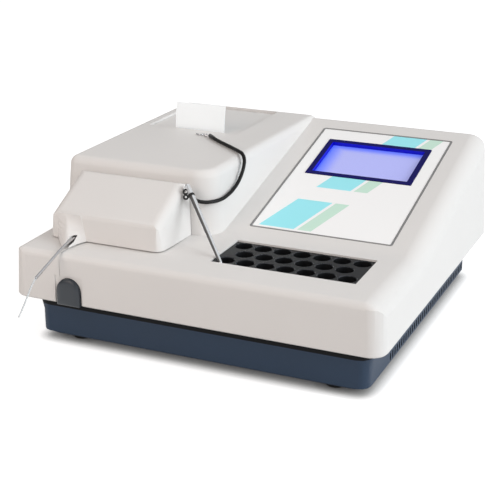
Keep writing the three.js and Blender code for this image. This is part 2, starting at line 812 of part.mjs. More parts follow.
function powerSupply() {
  const z = [tray_floor_top + seat_gap, tray_floor_top + seat_gap + supply_height];
  const slots = [];
  const count = Math.floor(widthOf(supply_x) / supply_slot_pitch) - 1;
  for (let i = 0; i < count; i += 1) {
    slots.push(box(span(middleOf(supply_x) + (i - (count - 1) / 2) * supply_slot_pitch,
      supply_slot_width), grown(supply_y, -supply_slot_pitch),
    [z[1] - supply_slot_width, z[1] + overrun]));
  }
  return cut(box(supply_x, supply_y, z), ...slots);
}

// Incubator: drilled block, heater plate and bracket
const heater_thickness = 3;

function incubatorBlock() {
  const x = grown(window_x, -running_gap);
  const y = grown(window_y, -running_gap);
  const wells = [];
  well_columns.forEach((count, row) => {
    for (let i = 0; i < count; i += 1) {
      const outline = [
        [0, incubator_bottom + well_floor],
        [well_radius, incubator_bottom + well_floor + well_cone],
        [well_radius, incubator_top - well_chamfer],
        [well_radius + well_chamfer, incubator_top],
        [well_radius + well_chamfer, incubator_top + overrun],
        [0, incubator_top + overrun],
      ];
      wells.push(turned(outline, 14).translate(
        middleOf(window_x) + (i - (count - 1) / 2) * well_pitch_x,
        middleOf(window_y) + (row - (well_columns.length - 1) / 2) * well_pitch_y, 0));
    }
  });
  return cut(box(x, y, [incubator_bottom, incubator_top]), ...wells);
}

const heater_top = incubator_bottom - seat_gap;
const bracket_top = heater_top - heater_thickness - seat_gap;

function incubatorHeater() {
  const inset = collar_wall + running_gap;
  return box(grown(window_x, -inset), grown(window_y, -inset),
    [heater_top - heater_thickness, heater_top]);
}

function incubatorBracket() {
  const floor = tray_floor_top + seat_gap;
  const outline = shapeOf([
    [window_x[0] - bracket_foot, floor],
    [window_x[0] + bracket_sheet, floor],
    [window_x[0] + bracket_sheet, bracket_top - bracket_sheet],
    [window_x[1] - bracket_sheet, bracket_top - bracket_sheet],
    [window_x[1] - bracket_sheet, floor],
    [window_x[1] + bracket_foot, floor],
    [window_x[1] + bracket_foot, floor + bracket_sheet],
    [window_x[1], floor + bracket_sheet],
    [window_x[1], bracket_top],
    [window_x[0], bracket_top],
    [window_x[0], floor + bracket_sheet],
    [window_x[0] - bracket_foot, floor + bracket_sheet],
  ]);
  return pulledY(outline, grown(window_y, -bracket_foot / 2));
}

// Graphic panel and display, all in the console frame
const panel_floor = -panel_pocket + seat_gap;
const module_thickness = 9;
const display_board_thickness = 1.6;
const display_chip = 12;
const module_top = -bezel_depth - seat_gap;

function panelTrim() {
  const outer = plate(shapeOf(roundedOutline(grown(panel_x, -seat_gap), grown(panel_y, -seat_gap),
    panel_radius, 2)), [panel_floor, trim_proud]);
  const hole = plate(shapeOf(roundedOutline(grown(panel_x, -trim_width),
    grown(panel_y, -trim_width), panel_radius / 2, 2)), grown([panel_floor, trim_proud], overrun));
  return cut(outer, hole);
}

function panelSheet() {
  const inset = trim_width + seat_gap;
  const z = [panel_floor, panel_floor + sheet_thickness];
  const sheet = plate(shapeOf(roundedOutline(grown(panel_x, -inset), grown(panel_y, -inset),
    panel_radius / 2, 2)), z);
  return cut(sheet, box(grown(display_x, seat_gap), grown(display_y, seat_gap), grown(z, overrun)));
}

function displayBezel() {
  const flange = plate(shapeOf(roundedOutline(display_x, display_y, least_radius * 2, 2)),
    [panel_floor, bezel_proud]);
  const skirt = box(skirt_x, skirt_y, [-bezel_depth, bezel_proud / 2]);
  return cut(join(flange, skirt), box(aperture_x, aperture_y,
    grown([-bezel_depth, bezel_proud], overrun)));
}

function touchGlass() {
  return box(grown(aperture_x, -seat_gap), grown(aperture_y, -seat_gap),
    [module_top + seat_gap, module_top + seat_gap + glass_thickness]);
}

function displayModule() {
  return box(module_x, module_y, [module_top - module_thickness, module_top]);
}

function displayBoard() {
  const top = module_top - module_thickness - seat_gap;
  const z = [top - display_board_thickness, top];
  const chips_shares = [0.25, 0.5, 0.75];
  const chips = chips_shares.map((share) => box(
    span(module_x[0] + widthOf(module_x) * share, display_chip),
    span(middleOf(module_y), display_chip), [z[0] - display_board_thickness, middleOf(z)]));
  return join(box(grown(module_x, -display_flange), grown(module_y, -display_flange), z), ...chips);
}

// Hood over the pump and flow cell
const hood_wall = 2.5;
const hood_crest_radius = 7;
const hood_crest_drop = 11;
const hood_crease_back = 2;
const hood_crease_rise = 25.9;
const hood_crease_fillet = 5;
const hood_edge_radius = 10;
const hood_corner_radius = 9;
const hood_side_angle = 5.5;
const hood_back_gap = 0.6;
const crest_start_angle = 28;
const hood_crest_height = block_height - hood_crest_drop;
const hood_crease_height = ledge_height + hood_crease_rise;
const hood_front_y = housing_front + hood_front_margin;
const hood_hinge_z = hood_crest_height - hood_crest_radius;
const hood_hinge_y = blockFront(hood_hinge_z) - hood_back_gap - hood_crest_radius;
const hood_side_share = Math.tan(radians(hood_side_angle));

// The slope runs from the crest, tangent to it, down to the crease above the front band
const crease_y = hood_front_y + hood_crease_back;
const crease_run = hood_hinge_y - crease_y;
const crease_drop = hood_hinge_z - hood_crease_height;
const slope_turn = Math.atan2(crease_drop, crease_run)
  + Math.asin(hood_crest_radius / Math.hypot(crease_run, crease_drop));
const slope_angle = THREE.MathUtils.radToDeg(slope_turn);
const slope_share = Math.tan(slope_turn);
const slopeHeight = (y) =>
  hood_hinge_z + hood_crest_radius / Math.cos(slope_turn) + (y - hood_hinge_y) * slope_share;

// Across place of the hood's left or right side, which leans in above the line of the slope
function hoodSide(side, y, z) {
  const above = z - ledge_height - (y - hood_hinge_y) * slope_share;
  return side < 0 ? hood_x[0] + above * hood_side_share : hood_x[1] - above * hood_side_share;
}

// The hood is where three drawn outlines meet: from the side, along the slope, and from above
function hoodForm(inset, floor, steps) {
  const crest = arc([hood_hinge_y, hood_hinge_z], Math.max(hood_crest_radius - inset, least_radius),
    0, 90 + slope_angle, steps * 2);
  const lowered = inset / Math.cos(slope_turn);
  const corner_y = crease_y + inset;
  const crease = new THREE.QuadraticBezierCurve(
    new THREE.Vector2(corner_y + hood_crease_fillet,
      slopeHeight(corner_y + hood_crease_fillet) - lowered),
    new THREE.Vector2(corner_y, slopeHeight(corner_y) - lowered),
    new THREE.Vector2(corner_y, slopeHeight(corner_y) - lowered - hood_crease_fillet),
  ).getPoints(steps).map((point) => [point.x, point.y]);
  const back = blockFront(floor) - hood_back_gap;
  const side_view = pulledX(shapeOf([
    [back, floor], ...crest, ...crease, [hood_front_y + inset, floor]]), grown(hood_x, overrun));

  const radius = Math.max(hood_edge_radius - inset, least_radius);
  const far = hood_hinge_y + hood_crest_radius;
  const near = hood_front_y - overrun;
  const sectionRing = (y) => {
    const top = slopeHeight(y) - lowered;
    const low = floor - hood_edge_radius;
    const points = [];
    points.push([hoodSide(-1, y, low) + inset, low], [hoodSide(1, y, low) - inset, low]);
    const edge = rounding(radius, steps);
    [...edge].reverse().forEach(({ drop, inward }) =>
      points.push([hoodSide(1, y, top - drop) - inset - inward, top - drop]));
    edge.forEach(({ drop, inward }) =>
      points.push([hoodSide(-1, y, top - drop) + inset + inward, top - drop]));
    return points.map(([x, z]) => new THREE.Vector3(x, y, z));
  };
  const section = loft([sectionRing(far + overrun), sectionRing(near)]);

  const corner = Math.max(hood_corner_radius - inset, least_radius);
  const front = hood_front_y + inset;
  const planRing = (z) => {
    const right = hoodSide(1, front, z) - inset + flush_margin;
    const left = hoodSide(-1, front, z) + inset - flush_margin;
    return levelRing([
      ...arc([right - corner, front + corner], corner, -90, 0, steps),
      [hoodSide(1, far, z) + overrun, far + overrun],
      [hoodSide(-1, far, z) - overrun, far + overrun],
      ...arc([left + corner, front + corner], corner, 180, 270, steps),
    ], z);
  };
  const plan = loft([planRing(floor - overrun), planRing(hood_crest_height + overrun)]);
  return common(common(side_view, section), plan);
}

// Nib: a beak that grows out of the front band towards the foot of the hood
const nib_offset = 13;
const nib_width = 31;
const nib_ridge_inset = 8.2;
const nib_tip_inset = 21;
const nib_reach = 23.5;
const nib_rows = 5;
const nib_tip_half = 3;
const nib_slot = 4.4;
const nib_slot_height = 7;
const nib_reach_power = 1.7;
const nib_ridge_power = 1.25;
const nib_narrow_share = 0.28;
const nib_left = hood_x[0] + nib_offset;
const nib_right = nib_left + nib_width;
const nib_ridge_top_x = nib_left + nib_ridge_inset;
const nib_tip_x = nib_left + nib_tip_inset;

// Tip outline: shares of the tip's half-width, still and growing downwards, and of the reach
const nib_tip_shares = [[0, -1, 0.93], [0.3, 0, 1], [0.4, 1, 0.9]];
// Concave right flank: shares of the way to the nib's right side, and of the reach
const nib_flank_shares = [0.62, 0.4];

function nibForm(inset, floor) {
  const rows = [];
  for (let i = 0; i <= nib_rows; i += 1) {
    const down = i / nib_rows;
    const z = hood_crease_height + (floor - hood_crease_height) * down;
    const reach = Math.max(nib_reach * down ** nib_reach_power - inset, 0);
    const ridge_x = nib_ridge_top_x + (nib_tip_x - nib_ridge_top_x) * down ** nib_ridge_power;
    const band = hood_front_y + hood_crease_back * (1 - down) + inset;
    const back = band + hood_wall + nib_tip_half;
    const narrowed = (nib_right - nib_ridge_top_x) * nib_narrow_share * (1 - down);
    const right = nib_right - narrowed - inset;
    const left = nib_left + inset;
    const tip = nib_tip_shares.map(([still, growing, out]) => [
      ridge_x + nib_tip_half * (still + growing * down), band - reach * out]);
    rows.push([
      [left, back],
      [left, band],
      ...tip,
      [ridge_x + (right - ridge_x) * nib_flank_shares[0], band - reach * nib_flank_shares[1]],
      [right, band],
      [right, back],
    ].map(([x, y]) => new THREE.Vector3(x, y, z)));
  }
  return loft(rows);
}

// Hinge of the hood: two arms on the ledge, a pin, and two lugs inside the crest
const pin_radius = 1.5;
const arm_radius = 2.8;
const arm_thickness = 3;
const arm_inset = 11;
const lug_width = 4;
const arm_x = [hood_x[0] + arm_inset, hood_x[1] - arm_inset - hood_edge_radius];

function pumpHood() {
  const inner_floor = hood_floor - overrun;
  const outer = join(hoodForm(0, hood_floor, 5), nibForm(0, hood_floor));
  const inner = join(hoodForm(hood_wall, inner_floor, 3), nibForm(hood_wall, inner_floor));
  const lug_radius = hood_crest_radius - hood_wall + seat_gap;
  const lugs = [0, 1].map((i) => {
    const x = arm_x[i] + (i ? -1 : 1) * (arm_thickness + running_gap);
    const ends = i ? [x - lug_width, x] : [x, x + lug_width];
    return rod('x', lug_radius, ends, [hood_hinge_y, hood_hinge_z], 16);
  });
  const pin_hole = rod('x', pin_radius + seat_gap, grown(hood_x, -hood_wall),
    [hood_hinge_y, hood_hinge_z], 12);
  // Behind the crest the shell stops, so that the hinge arms stay clear when it swings
  const start = radians(crest_start_angle);
  const crestPoint = (radius) => [
    hood_hinge_y + radius * Math.cos(start), hood_hinge_z + radius * Math.sin(start)];
  const outside = crestPoint(hood_crest_radius + overrun);
  const inside = hood_crest_radius - hood_wall - seat_gap;
  const behind = hood_hinge_y + hood_crest_radius * 2;
  const rear_clear = pulledX(shapeOf([
    [hood_hinge_y - hood_wall, hood_floor - overrun],
    [behind, hood_floor - overrun],
    [behind, outside[1]],
    outside,
    crestPoint(inside),
    [hood_hinge_y + inside, hood_hinge_z - inside],
    [hood_hinge_y - hood_wall, hood_hinge_z - inside * 2],
  ]), [hood_x[0] + hood_wall * 2, hood_x[1] - hood_edge_radius]);
  const slot = box(span(sipper_x, nib_slot), [hood_front_y - nib_reach - overrun,
    hood_front_y + hood_wall + overrun], [hood_floor - overrun, hood_floor + nib_slot_height]);
  return cut(join(cut(outer, inner, rear_clear), ...lugs), pin_hole, slot);
}

function hingePin() {
  return rod('x', pin_radius, grown(arm_x, arm_thickness / 2), [hood_hinge_y, hood_hinge_z], 12);
}

function hingeBracket() {
  // The arms stand close to the foot of the block's front and reach up to the pin
  const arms = arm_x.map((x, i) => {
    const ends = i ? [x - arm_thickness, x] : [x, x + arm_thickness];
    const arm = pulledX(shapeOf([
      [hinge_foot_back - 2 * arm_radius, hood_floor],
      [hinge_foot_back, hood_floor],
      ...arc([hood_hinge_y, hood_hinge_z], arm_radius, 0, 180, 8),
    ]), ends);
    return cut(arm, rod('x', pin_radius + seat_gap, grown(ends, overrun),
      [hood_hinge_y, hood_hinge_z], 12));
  });
  const strip = box(arm_x, [hinge_foot_back - hinge_foot_length, hinge_foot_back],
    [hood_floor, hood_floor + bracket_sheet]);
  return join(strip, ...arms);
}

// Sipper: steel tube from the flow cell out through the nib, and its clear tubing
const sipper_radius = 1.3;
const sipper_inset = 4.2;
const sipper_engagement = 11;
const sipper_rise = 6.4;
const sipper_run = 99;
const sipper_drop = 16.7;
// Shares of the run and of the drop
const sipper_shares = [
  [0, 0], [0.212, 0], [0.394, 0.024], [0.515, 0.144], [0.768, 0.581], [1, 1]];
const cell_front_margin = 52;
const cell_length = 24;
const cell_y = [
  housing_front + cell_front_margin, housing_front + cell_front_margin + cell_length];
const sipper_x = cell_x[0] + sipper_inset;
const sipper_z = ledge_height + sipper_rise;
const sipper_route = sipper_shares.map(([along, down]) => [
  sipper_x, cell_y[0] + sipper_engagement - sipper_run * along, sipper_z - sipper_drop * down]);
const tubing_radius = 0.75;
const tubing_route = [
  [sipper_x, -218.4, 84.1], [-130.6, -221.5, 81], [-132.4, -224.2, 75], [-134.8, -226, 68],
  [-137.4, -227, 61.5], [-140.4, -227.6, 55], [-143.6, -228, 48.5],
];

const sipperTube = () => tube(sipper_route, sipper_radius, 10, 18);
const sipperTubing = () => tube(tubing_route, tubing_radius, 8, 14);

// Sip button and its switch
const switch_width = 12;
const switch_height = 10;
const switch_plunger = 2;
const switch_gap = 0.3;

function sipButton() {
  const front = -wallHalf(housing_back, button_bottom) - button_proud;
  const inner_wall = -wallHalf(housing_back, rim_height) + housing_wall + seat_gap
    + (button_top - rim_height) * draft_share;
  const body = pulledY(archShape(button_width / 2, button_bottom, button_top),
    [front, inner_wall + button_flange_thickness / 2]);
  const flange = pulledY(archShape(button_width / 2 + button_flange, button_bottom,
    button_top + button_flange), [inner_wall, inner_wall + button_flange_thickness]);
  return join(body, flange);
}

function sipSwitch() {
  const lip_y = -(housing_back - tray_inset_top - neck_inset) - seat_gap;
  const flange_back = -wallHalf(housing_back, rim_height) + housing_wall + seat_gap
    + (button_top - rim_height) * draft_share + button_flange_thickness;
  const tip = flange_back + button_travel + switch_gap;
  const z = span((button_top + button_bottom) / 2 - overrun, switch_height);
  const body = box(span(button_x, switch_width), [tip + switch_plunger, lip_y], z);
  return join(body, rod('y', switch_plunger, [tip, tip + switch_plunger + overrun],
    [button_x, middleOf(z)], 10));
}

// Printer
const platen_radius = 5;
const platen_shaft_radius = 1.5;
const platen_shaft_length = 2.5;
const paper_thickness = 0.35;
const paper_front_gap = 2.7;
const paper_stand = 29;
const paper_lean = 4;
const paper_lean_power = 2.5;
const cheek_gap = 0.5;
const lid_nose_angles = [190, 450];
const spool_radius = 6;
const paper_y = recess_y[0] + paper_front_gap;
const paper_top = lid_top + paper_stand;
const platen_y = paper_y + paper_thickness / 2 + seat_gap + platen_radius;
const platen_z = mechanism_top - platen_radius - seat_gap;

function printerLid() {
  const x = grown(recess_x, -running_gap);
  const front = paper_y + overrun;
  const shape = shapeOf([
    [front, lid_top - lid_thickness],
    [lid_hinge_y - lid_hinge_radius, lid_top - lid_thickness],
    ...arc([lid_hinge_y, lid_hinge_z], lid_hinge_radius, ...lid_nose_angles, 14),
    [front + least_radius, lid_top],
    [front, lid_top - least_radius],
  ]);
  const stubs = rod('x', lid_stub_radius, grown(x, lid_stub_length), [lid_hinge_y, lid_hinge_z], 10);
  return join(pulledX(shape, x), stubs);
}

function printerMechanism() {
  const x = grown(bay_x, -running_gap);
  const cheek_x = span(paper_x, paper_width + 2 * (seat_gap + cheek_gap));
  const body = box(x, mechanism_y, [mechanism_bottom, mechanism_top]);
  const trough = rod('x', platen_radius + seat_gap, cheek_x, [platen_y, platen_z], 20);
  const mouth = box(cheek_x, [platen_y - platen_radius - seat_gap,
    platen_y + platen_radius + seat_gap], [platen_z, mechanism_top + overrun]);
  const slot = box(cheek_x, span(paper_y, paper_thickness + 2 * seat_gap),
    [platen_z - platen_radius, mechanism_top + overrun]);
  const shaft = rod('x', platen_shaft_radius + seat_gap,
    grown(cheek_x, platen_shaft_length), [platen_y, platen_z], 12);
  return cut(body, trough, mouth, slot, shaft);
}

function platenRoller() {
  const x = span(paper_x, paper_width);
  return join(rod('x', platen_radius, x, [platen_y, platen_z], 20),
    rod('x', platen_shaft_radius, grown(x, platen_shaft_length), [platen_y, platen_z], 12));
}

function paperRoll() {
  const x = span(paper_x, paper_width);
  return cut(rod('x', roll_radius, x, [roll_y, roll_z], 28),
    rod('x', spool_radius, grown(x, overrun), [roll_y, roll_z], 16));
}

function paperStrip() {
  const bottom = platen_z - platen_radius / 2;
  const rows = 8;
  const line = Array.from({ length: rows + 1 }, (unused, i) => {
    const up = i / rows;
    return [paper_y + paper_lean * up ** paper_lean_power, bottom + (paper_top - bottom) * up];
  });
  const front = line.map(([y, z]) => [y - paper_thickness / 2, z]);
  const back = line.map(([y, z]) => [y + paper_thickness / 2, z]).reverse();
  return pulledX(shapeOf([...front, ...back]), span(paper_x, paper_width));
}

// Stylus on its lanyard: it stands in the first well and leans on the hood's right shoulder
const stylus_foot_inset = [8.2, 5.5];
const stylus_sink = 2.99;
const stylus_lean_inset = 2.6;
const stylus_lean_back = 0.28;
const stylus_lean_drop = 0.1;
const stylus_foot_radius = 1.8;
const stylus_top_radius = 2.7;
const stylus_taper_share = 0.75;
const stylus_foot = [window_x[0] + stylus_foot_inset[0], window_y[0] + stylus_foot_inset[1],
  incubator_top - stylus_sink];
const stylus_top = [hood_x[1] - stylus_lean_inset, hood_hinge_y + stylus_lean_back,
  hood_crest_height - stylus_lean_drop];

function stylus() {
  const foot = new THREE.Vector3(...stylus_foot);
  const top = new THREE.Vector3(...stylus_top);
  const length = foot.distanceTo(top);
  const tip = stylus_foot_radius;
  const body = turned([
    [0, 0], [tip / 2, 0], [tip, tip], [stylus_top_radius, length * stylus_taper_share],
    [stylus_top_radius, length - tip], [tip, length], [0, length],
  ], 12);
  const turn = new THREE.Quaternion().setFromUnitVectors(
    new THREE.Vector3(0, 0, 1), top.clone().sub(foot).normalize());
  return body.applyQuaternion(turn).translate(foot.x, foot.y, foot.z);
}

const cord_radius = 1.8;
const cord_route = [
  [-79.5, 36, 159.7], [-68, 24.5, 159.7], [-59, 17, 159.7], [-50.7, 10.5, 159.7],
  [-42, 4, 159.7], [-33.6, -2.8, 159.7], [-26.5, -9, 159.9], [-20, -14.2, 158.8],
  [-16.2, -18.5, 154.5], [-15, -22.6, 149.5], [-14.8, -27, 144.5], [-15, -34.5, 138],
  [-15.4, -45, 133.2], [-15.9, -58, 130.4], [-17.2, -69, 129.3], [-21.4, -79, 129.2],
  [-27, -87, 130.2], [-32.5, -91.6, 132.5], [-36.6, -94, 136],
];
const lanyardCord = () => tube(cord_route, cord_radius, 8, 40);

// Bent wire clip on the top of the block: shares of its length across, along and up
const clip_wire_radius = 0.8;
const clip_length = 16.8;
const clip_right_margin = 38;
const clip_front_margin = 19.5;
const clip_shares = [
  [0, 0, 0], [0.298, -0.083, 0], [0.536, 0.089, 0], [0.744, 0.03, 0], [0.655, -0.179, 0],
  [0.833, -0.202, 0.018], [1, -0.19, 0.054],
];
const clip_route = clip_shares.map(([across, along, up]) => [
  recess_x[1] - clip_right_margin + clip_length * across,
  recess_y[0] - clip_front_margin + clip_length * along,
  block_height + seat_gap + clip_wire_radius + clip_length * up]);
const lanyardClip = () => tube(clip_route, clip_wire_radius, 6, 18);

// Pump head on the ledge and its motor below
const pump_height = 15;
const track_radius = 17;
const rotor_radius = 12.6;
const rotor_height = 11;
const roller_radius = 3.2;
const pump_tube_radius = 1.6;
const motor_radius = 18;
const motor_height = 34;
const pump_base = 3;
const deck_top = ledgeHeight(pump_y) + seat_gap * 2;
const deck_bottom = ledge_height - housing_wall - seat_gap;
const pump_cavity_floor = deck_top + pump_base;

function pumpHousing() {
  const z = [deck_top, deck_top + pump_height];
  const body = box(span(pump_x, pump_size), span(pump_y, pump_size), z);
  const cavity = rod('z', track_radius, [pump_cavity_floor, z[1] + overrun],
    [pump_x, pump_y], 28);
  const mouth = box([pump_x - pump_size, pump_x], span(pump_y, 2 * track_radius),
    [pump_cavity_floor, z[1] + overrun]);
  const shaft = rod('z', pump_shaft_radius + running_gap, grown([deck_top, pump_cavity_floor],
    overrun), [pump_x, pump_y], 12);
  return cut(body, cavity, mouth, shaft);
}

function pumpRotor() {
  const z = [pump_cavity_floor + seat_gap, pump_cavity_floor + seat_gap + rotor_height];
  const rollers = [0, 1, 2].map((i) => {
    const angle = (i * 2 * Math.PI) / 3;
    const reach = rotor_radius - roller_radius;
    return rod('z', roller_radius, z, [pump_x + reach * Math.cos(angle),
      pump_y + reach * Math.sin(angle)], 12);
  });
  const disc = rod('z', rotor_radius, [z[0], z[0] + pump_base], [pump_x, pump_y], 24);
  const hub = rod('z', rotor_radius - 2 * roller_radius + overrun, z, [pump_x, pump_y], 16);
  const shaft = rod('z', pump_shaft_radius, [deck_bottom - pump_base, z[1]],
    [pump_x, pump_y], 12);
  return join(disc, hub, shaft, ...rollers);
}

function pumpTube() {
  const radius = track_radius - pump_tube_radius - seat_gap;
  const z = pump_cavity_floor + rotor_height / 2 + seat_gap;
  const bend = arc([pump_x, pump_y], radius, -90, 90, 10);
  const left = pump_x - pump_size / 2 - overrun;
  const route = [[left, pump_y - radius], [pump_x - pump_tube_radius * 2, pump_y - radius],
    ...bend, [pump_x - pump_tube_radius * 2, pump_y + radius], [left, pump_y + radius]];
  return tube(route.map(([x, y]) => [x, y, z]), pump_tube_radius, 8, 28);
}

function pumpMotor() {
  const top = deck_bottom;
  const body = rod('z', motor_radius, [top - motor_height, top], [pump_x, pump_y], 20);
  return cut(body, rod('z', pump_shaft_radius + seat_gap, [top - pump_base - seat_gap,
    top + overrun], [pump_x, pump_y], 12));
}

// Flow cell and optics
const cell_height = 24;
const detector_depth = 8;
const wheel_radius = 24;
const wheel_thickness = 4;
const wheel_filters = 8;
const filter_radius = 4.5;
const wheel_gap = 4;
const wheel_setback = 26;
const wheel_y = [
  block_front_y + wheel_setback, block_front_y + wheel_setback + wheel_thickness];
const filter_reach = wheel_radius - filter_radius - overrun;
const wheel_x = beam_x + filter_reach;
const wheel_shaft_radius = 2.5;
const filter_motor_radius = 9;
const filter_motor_length = 20;
const stand_sheet = 2.5;
const stand_offset = 8;
const stand_width = 64;
const stand_setback = 8;
const stand_length = 62;
const upright_width = 36;
const stand_x = span(beam_x + stand_offset, stand_width);
const stand_y = [
  block_front_y + stand_setback, block_front_y + stand_setback + stand_length];
const stand_top = beam_z - wheel_radius - wheel_gap;
const upright_y = [wheel_y[1] + wheel_gap, wheel_y[1] + wheel_gap + stand_sheet];
const lamp_size = 20;
const lens_radius = 8;

function flowCell() {
  const z = [deck_top, deck_top + cell_height];
  const body = box(cell_x, cell_y, z);
  const light = rod('y', beam_radius, grown(cell_y, overrun), [beam_x, beam_z], 12);
  const inlet = rod('y', sipper_radius + seat_gap, [cell_y[0] - overrun, cell_y[0] + cell_height / 2],
    [sipper_x, sipper_route[0][2]], 10);
  return cut(body, light, inlet);
}

function detector() {
  const y = [cell_y[0] - seat_gap - detector_depth, cell_y[0] - seat_gap];
  return box([beam_x - 2 * beam_radius, cell_x[1]], y, [deck_top, beam_z + beam_radius + overrun / 2]);
}

function opticsStand() {
  const floor = tray_floor_top + seat_gap;
  const outer = box(stand_x, stand_y, [floor, stand_top]);
  const hollow = box(grown(stand_x, -stand_sheet), grown(stand_y, overrun),
    [floor - overrun, stand_top - stand_sheet]);
  const upright = box(span(wheel_x, upright_width), upright_y,
    [stand_top - stand_sheet / 2, beam_z + filter_motor_radius + stand_sheet]);
  const shaft = rod('y', wheel_shaft_radius + running_gap, grown(upright_y, overrun),
    [wheel_x, beam_z], 12);
  return cut(join(cut(outer, hollow), upright), shaft);
}

function lensTube() {
  const front = blockFront(beam_z) + housing_wall + overrun;
  const y = [front, wheel_y[0] - wheel_gap];
  const barrel = rod('y', lens_radius, y, [beam_x, beam_z], 20);
  const foot = box(span(beam_x, lens_radius), y, [stand_top + seat_gap, beam_z]);
  return cut(join(barrel, foot), rod('y', beam_radius, grown(y, overrun), [beam_x, beam_z], 12));
}

function filterWheel() {
  const disc = rod('y', wheel_radius, wheel_y, [wheel_x, beam_z], 28);
  const filters = [];
  for (let i = 0; i < wheel_filters; i += 1) {
    const angle = Math.PI + (i * 2 * Math.PI) / wheel_filters;
    filters.push(rod('y', filter_radius, grown(wheel_y, overrun), [
      wheel_x + filter_reach * Math.cos(angle), beam_z + filter_reach * Math.sin(angle)], 8));
  }
  const shaft = rod('y', wheel_shaft_radius, [wheel_y[0], upright_y[1] + wheel_gap],
    [wheel_x, beam_z], 12);
  return join(cut(disc, ...filters), shaft);
}

function filterMotor() {
  const y = [upright_y[1] + seat_gap, upright_y[1] + seat_gap + filter_motor_length];
  const body = rod('y', filter_motor_radius, y, [wheel_x, beam_z], 18);
  return cut(body, rod('y', wheel_shaft_radius + seat_gap, [y[0] - overrun, y[0] + wheel_gap],
    [wheel_x, beam_z], 12));
}

function lampHousing() {
  const right = wheel_x - filter_motor_radius - overrun;
  const x = [right - lamp_size, right];
  const y = [upright_y[1] + seat_gap, stand_y[1]];
  const body = box(x, y, [stand_top + seat_gap, beam_z + lamp_size / 2]);
  return cut(body, rod('y', beam_radius, [y[0] - overrun, middleOf(y)], [beam_x, beam_z], 12));
}

// Rear panel and what it carries, in the rear frame
const panel_face = -housing_wall - seat_gap;
const inlet_margin = 40;
const inlet_rise = 22;
const inlet_size = [48, 28];
const inlet_flange = 2;
const inlet_depth = 20;
const inlet_recess = [25, 17];
const inlet_pin_pitch = 7.14;
const switch_pitch = 40;
const switch_size = [22, 30];
const rocker_size = [15, 22];
const rocker_travel_angle = 10;
const rocker_thickness = 6;
const serial_margin = 34;
const serial_size = [31, 13];
const fan_margin = 110;
const fan_rise = 34;
const fan_size = 60;
const fan_depth = 16;
const fan_bore_radius = 27;
const fan_hub_radius = 11;
const fan_blades = 7;
const fan_blade_thickness = 1.2;
const fan_blade_angle = 35;
const fan_guard_rings = 3;
const guard_sides = 14;
const guard_wire = 1.5;
const spider_width = 5;
const panel_hole_gap = 0.5;
const inlet_x = rear_opening_x[0] + inlet_margin;
const inlet_z = rear_opening_z[0] + inlet_rise;
const switch_x = inlet_x + switch_pitch;
const serial_x = rear_opening_x[1] - serial_margin;
const fan_x = rear_opening_x[1] - fan_margin;
const fan_z = rear_opening_z[0] + fan_rise;

const rearBox = (x, z, size, depth, by = 0) =>
  box(span(x, size[0] + 2 * by), depth, span(z, size[1] + 2 * by));

function rearPanel() {
  const y = [panel_face - rear_sheet, panel_face];
  const sheet = box(grown(rear_opening_x, rear_lap), y, grown(rear_opening_z, rear_lap));
  const through = grown(y, overrun);
  return cut(sheet,
    rearBox(inlet_x, inlet_z, inlet_size, through, -inlet_flange + panel_hole_gap),
    rearBox(switch_x, inlet_z, switch_size, through, -inlet_flange + panel_hole_gap),
    rearBox(serial_x, inlet_z, serial_size, through, -inlet_flange + panel_hole_gap),
    rod('y', fan_bore_radius, through, [fan_x, fan_z], 28));
}

function powerInlet() {
  const face = panel_face + seat_gap + inlet_flange;
  const flange = rearBox(inlet_x, inlet_z, inlet_size, [face - inlet_flange, face]);
  const body = rearBox(inlet_x, inlet_z, inlet_size, [face - inlet_depth, face - inlet_flange / 2],
    -inlet_flange);
  const recess = rearBox(inlet_x, inlet_z, inlet_recess, [face - inlet_depth + inlet_flange * 2,
    face + overrun]);
  const pins = [-1, 0, 1].map((i) => box(span(inlet_x + i * inlet_pin_pitch, inlet_flange),
    [face - inlet_depth + inlet_flange, face - inlet_flange * 2], span(inlet_z, inlet_flange * 2)));
  return join(cut(join(flange, body), recess), ...pins);
}

function switchFrame() {
  const face = panel_face + seat_gap + inlet_flange;
  const flange = rearBox(switch_x, inlet_z, switch_size, [face - inlet_flange, face]);
  const body = rearBox(switch_x, inlet_z, switch_size, [face - inlet_depth, face - inlet_flange / 2],
    -inlet_flange);
  const hollow = rearBox(switch_x, inlet_z, rocker_size,
    [face - inlet_depth + inlet_flange, face + overrun], running_gap + seat_gap);
  return cut(join(flange, body), hollow);
}

function powerRocker() {
  const face = panel_face + seat_gap + inlet_flange;
  const half = rocker_size[1] / 2;
  const tilt = radians(rocker_travel_angle);
  const pivot_y = face - rocker_thickness;
  const top_y = face - rocker_thickness / 2;
  const outline = shapeOf([
    [pivot_y - rocker_thickness, inlet_z - half / 2],
    [top_y - Math.sin(tilt) * overrun, inlet_z - half],
    [top_y + least_radius, inlet_z - half],
    [top_y - half * Math.tan(tilt) / 2, inlet_z],
    [top_y + least_radius, inlet_z + half],
    [top_y - Math.sin(tilt) * overrun, inlet_z + half],
    [pivot_y - rocker_thickness, inlet_z + half / 2],
  ]);
  // It rests with its lower end pressed in
  return pulledX(outline, span(switch_x, rocker_size[0])).translate(0, -pivot_y, -inlet_z)
    .rotateX(-tilt).translate(0, pivot_y, inlet_z);
}

function serialPort() {
  const face = panel_face + seat_gap + inlet_flange;
  const flange = rearBox(serial_x, inlet_z, serial_size, [face - inlet_flange, face]);
  const body = rearBox(serial_x, inlet_z, serial_size,
    [face - inlet_depth / 2, face - inlet_flange / 2], -inlet_flange);
  const hollow = rearBox(serial_x, inlet_z, serial_size, [face - inlet_depth / 3, face + overrun],
    -inlet_flange * 2);
  return cut(join(flange, body), hollow);
}

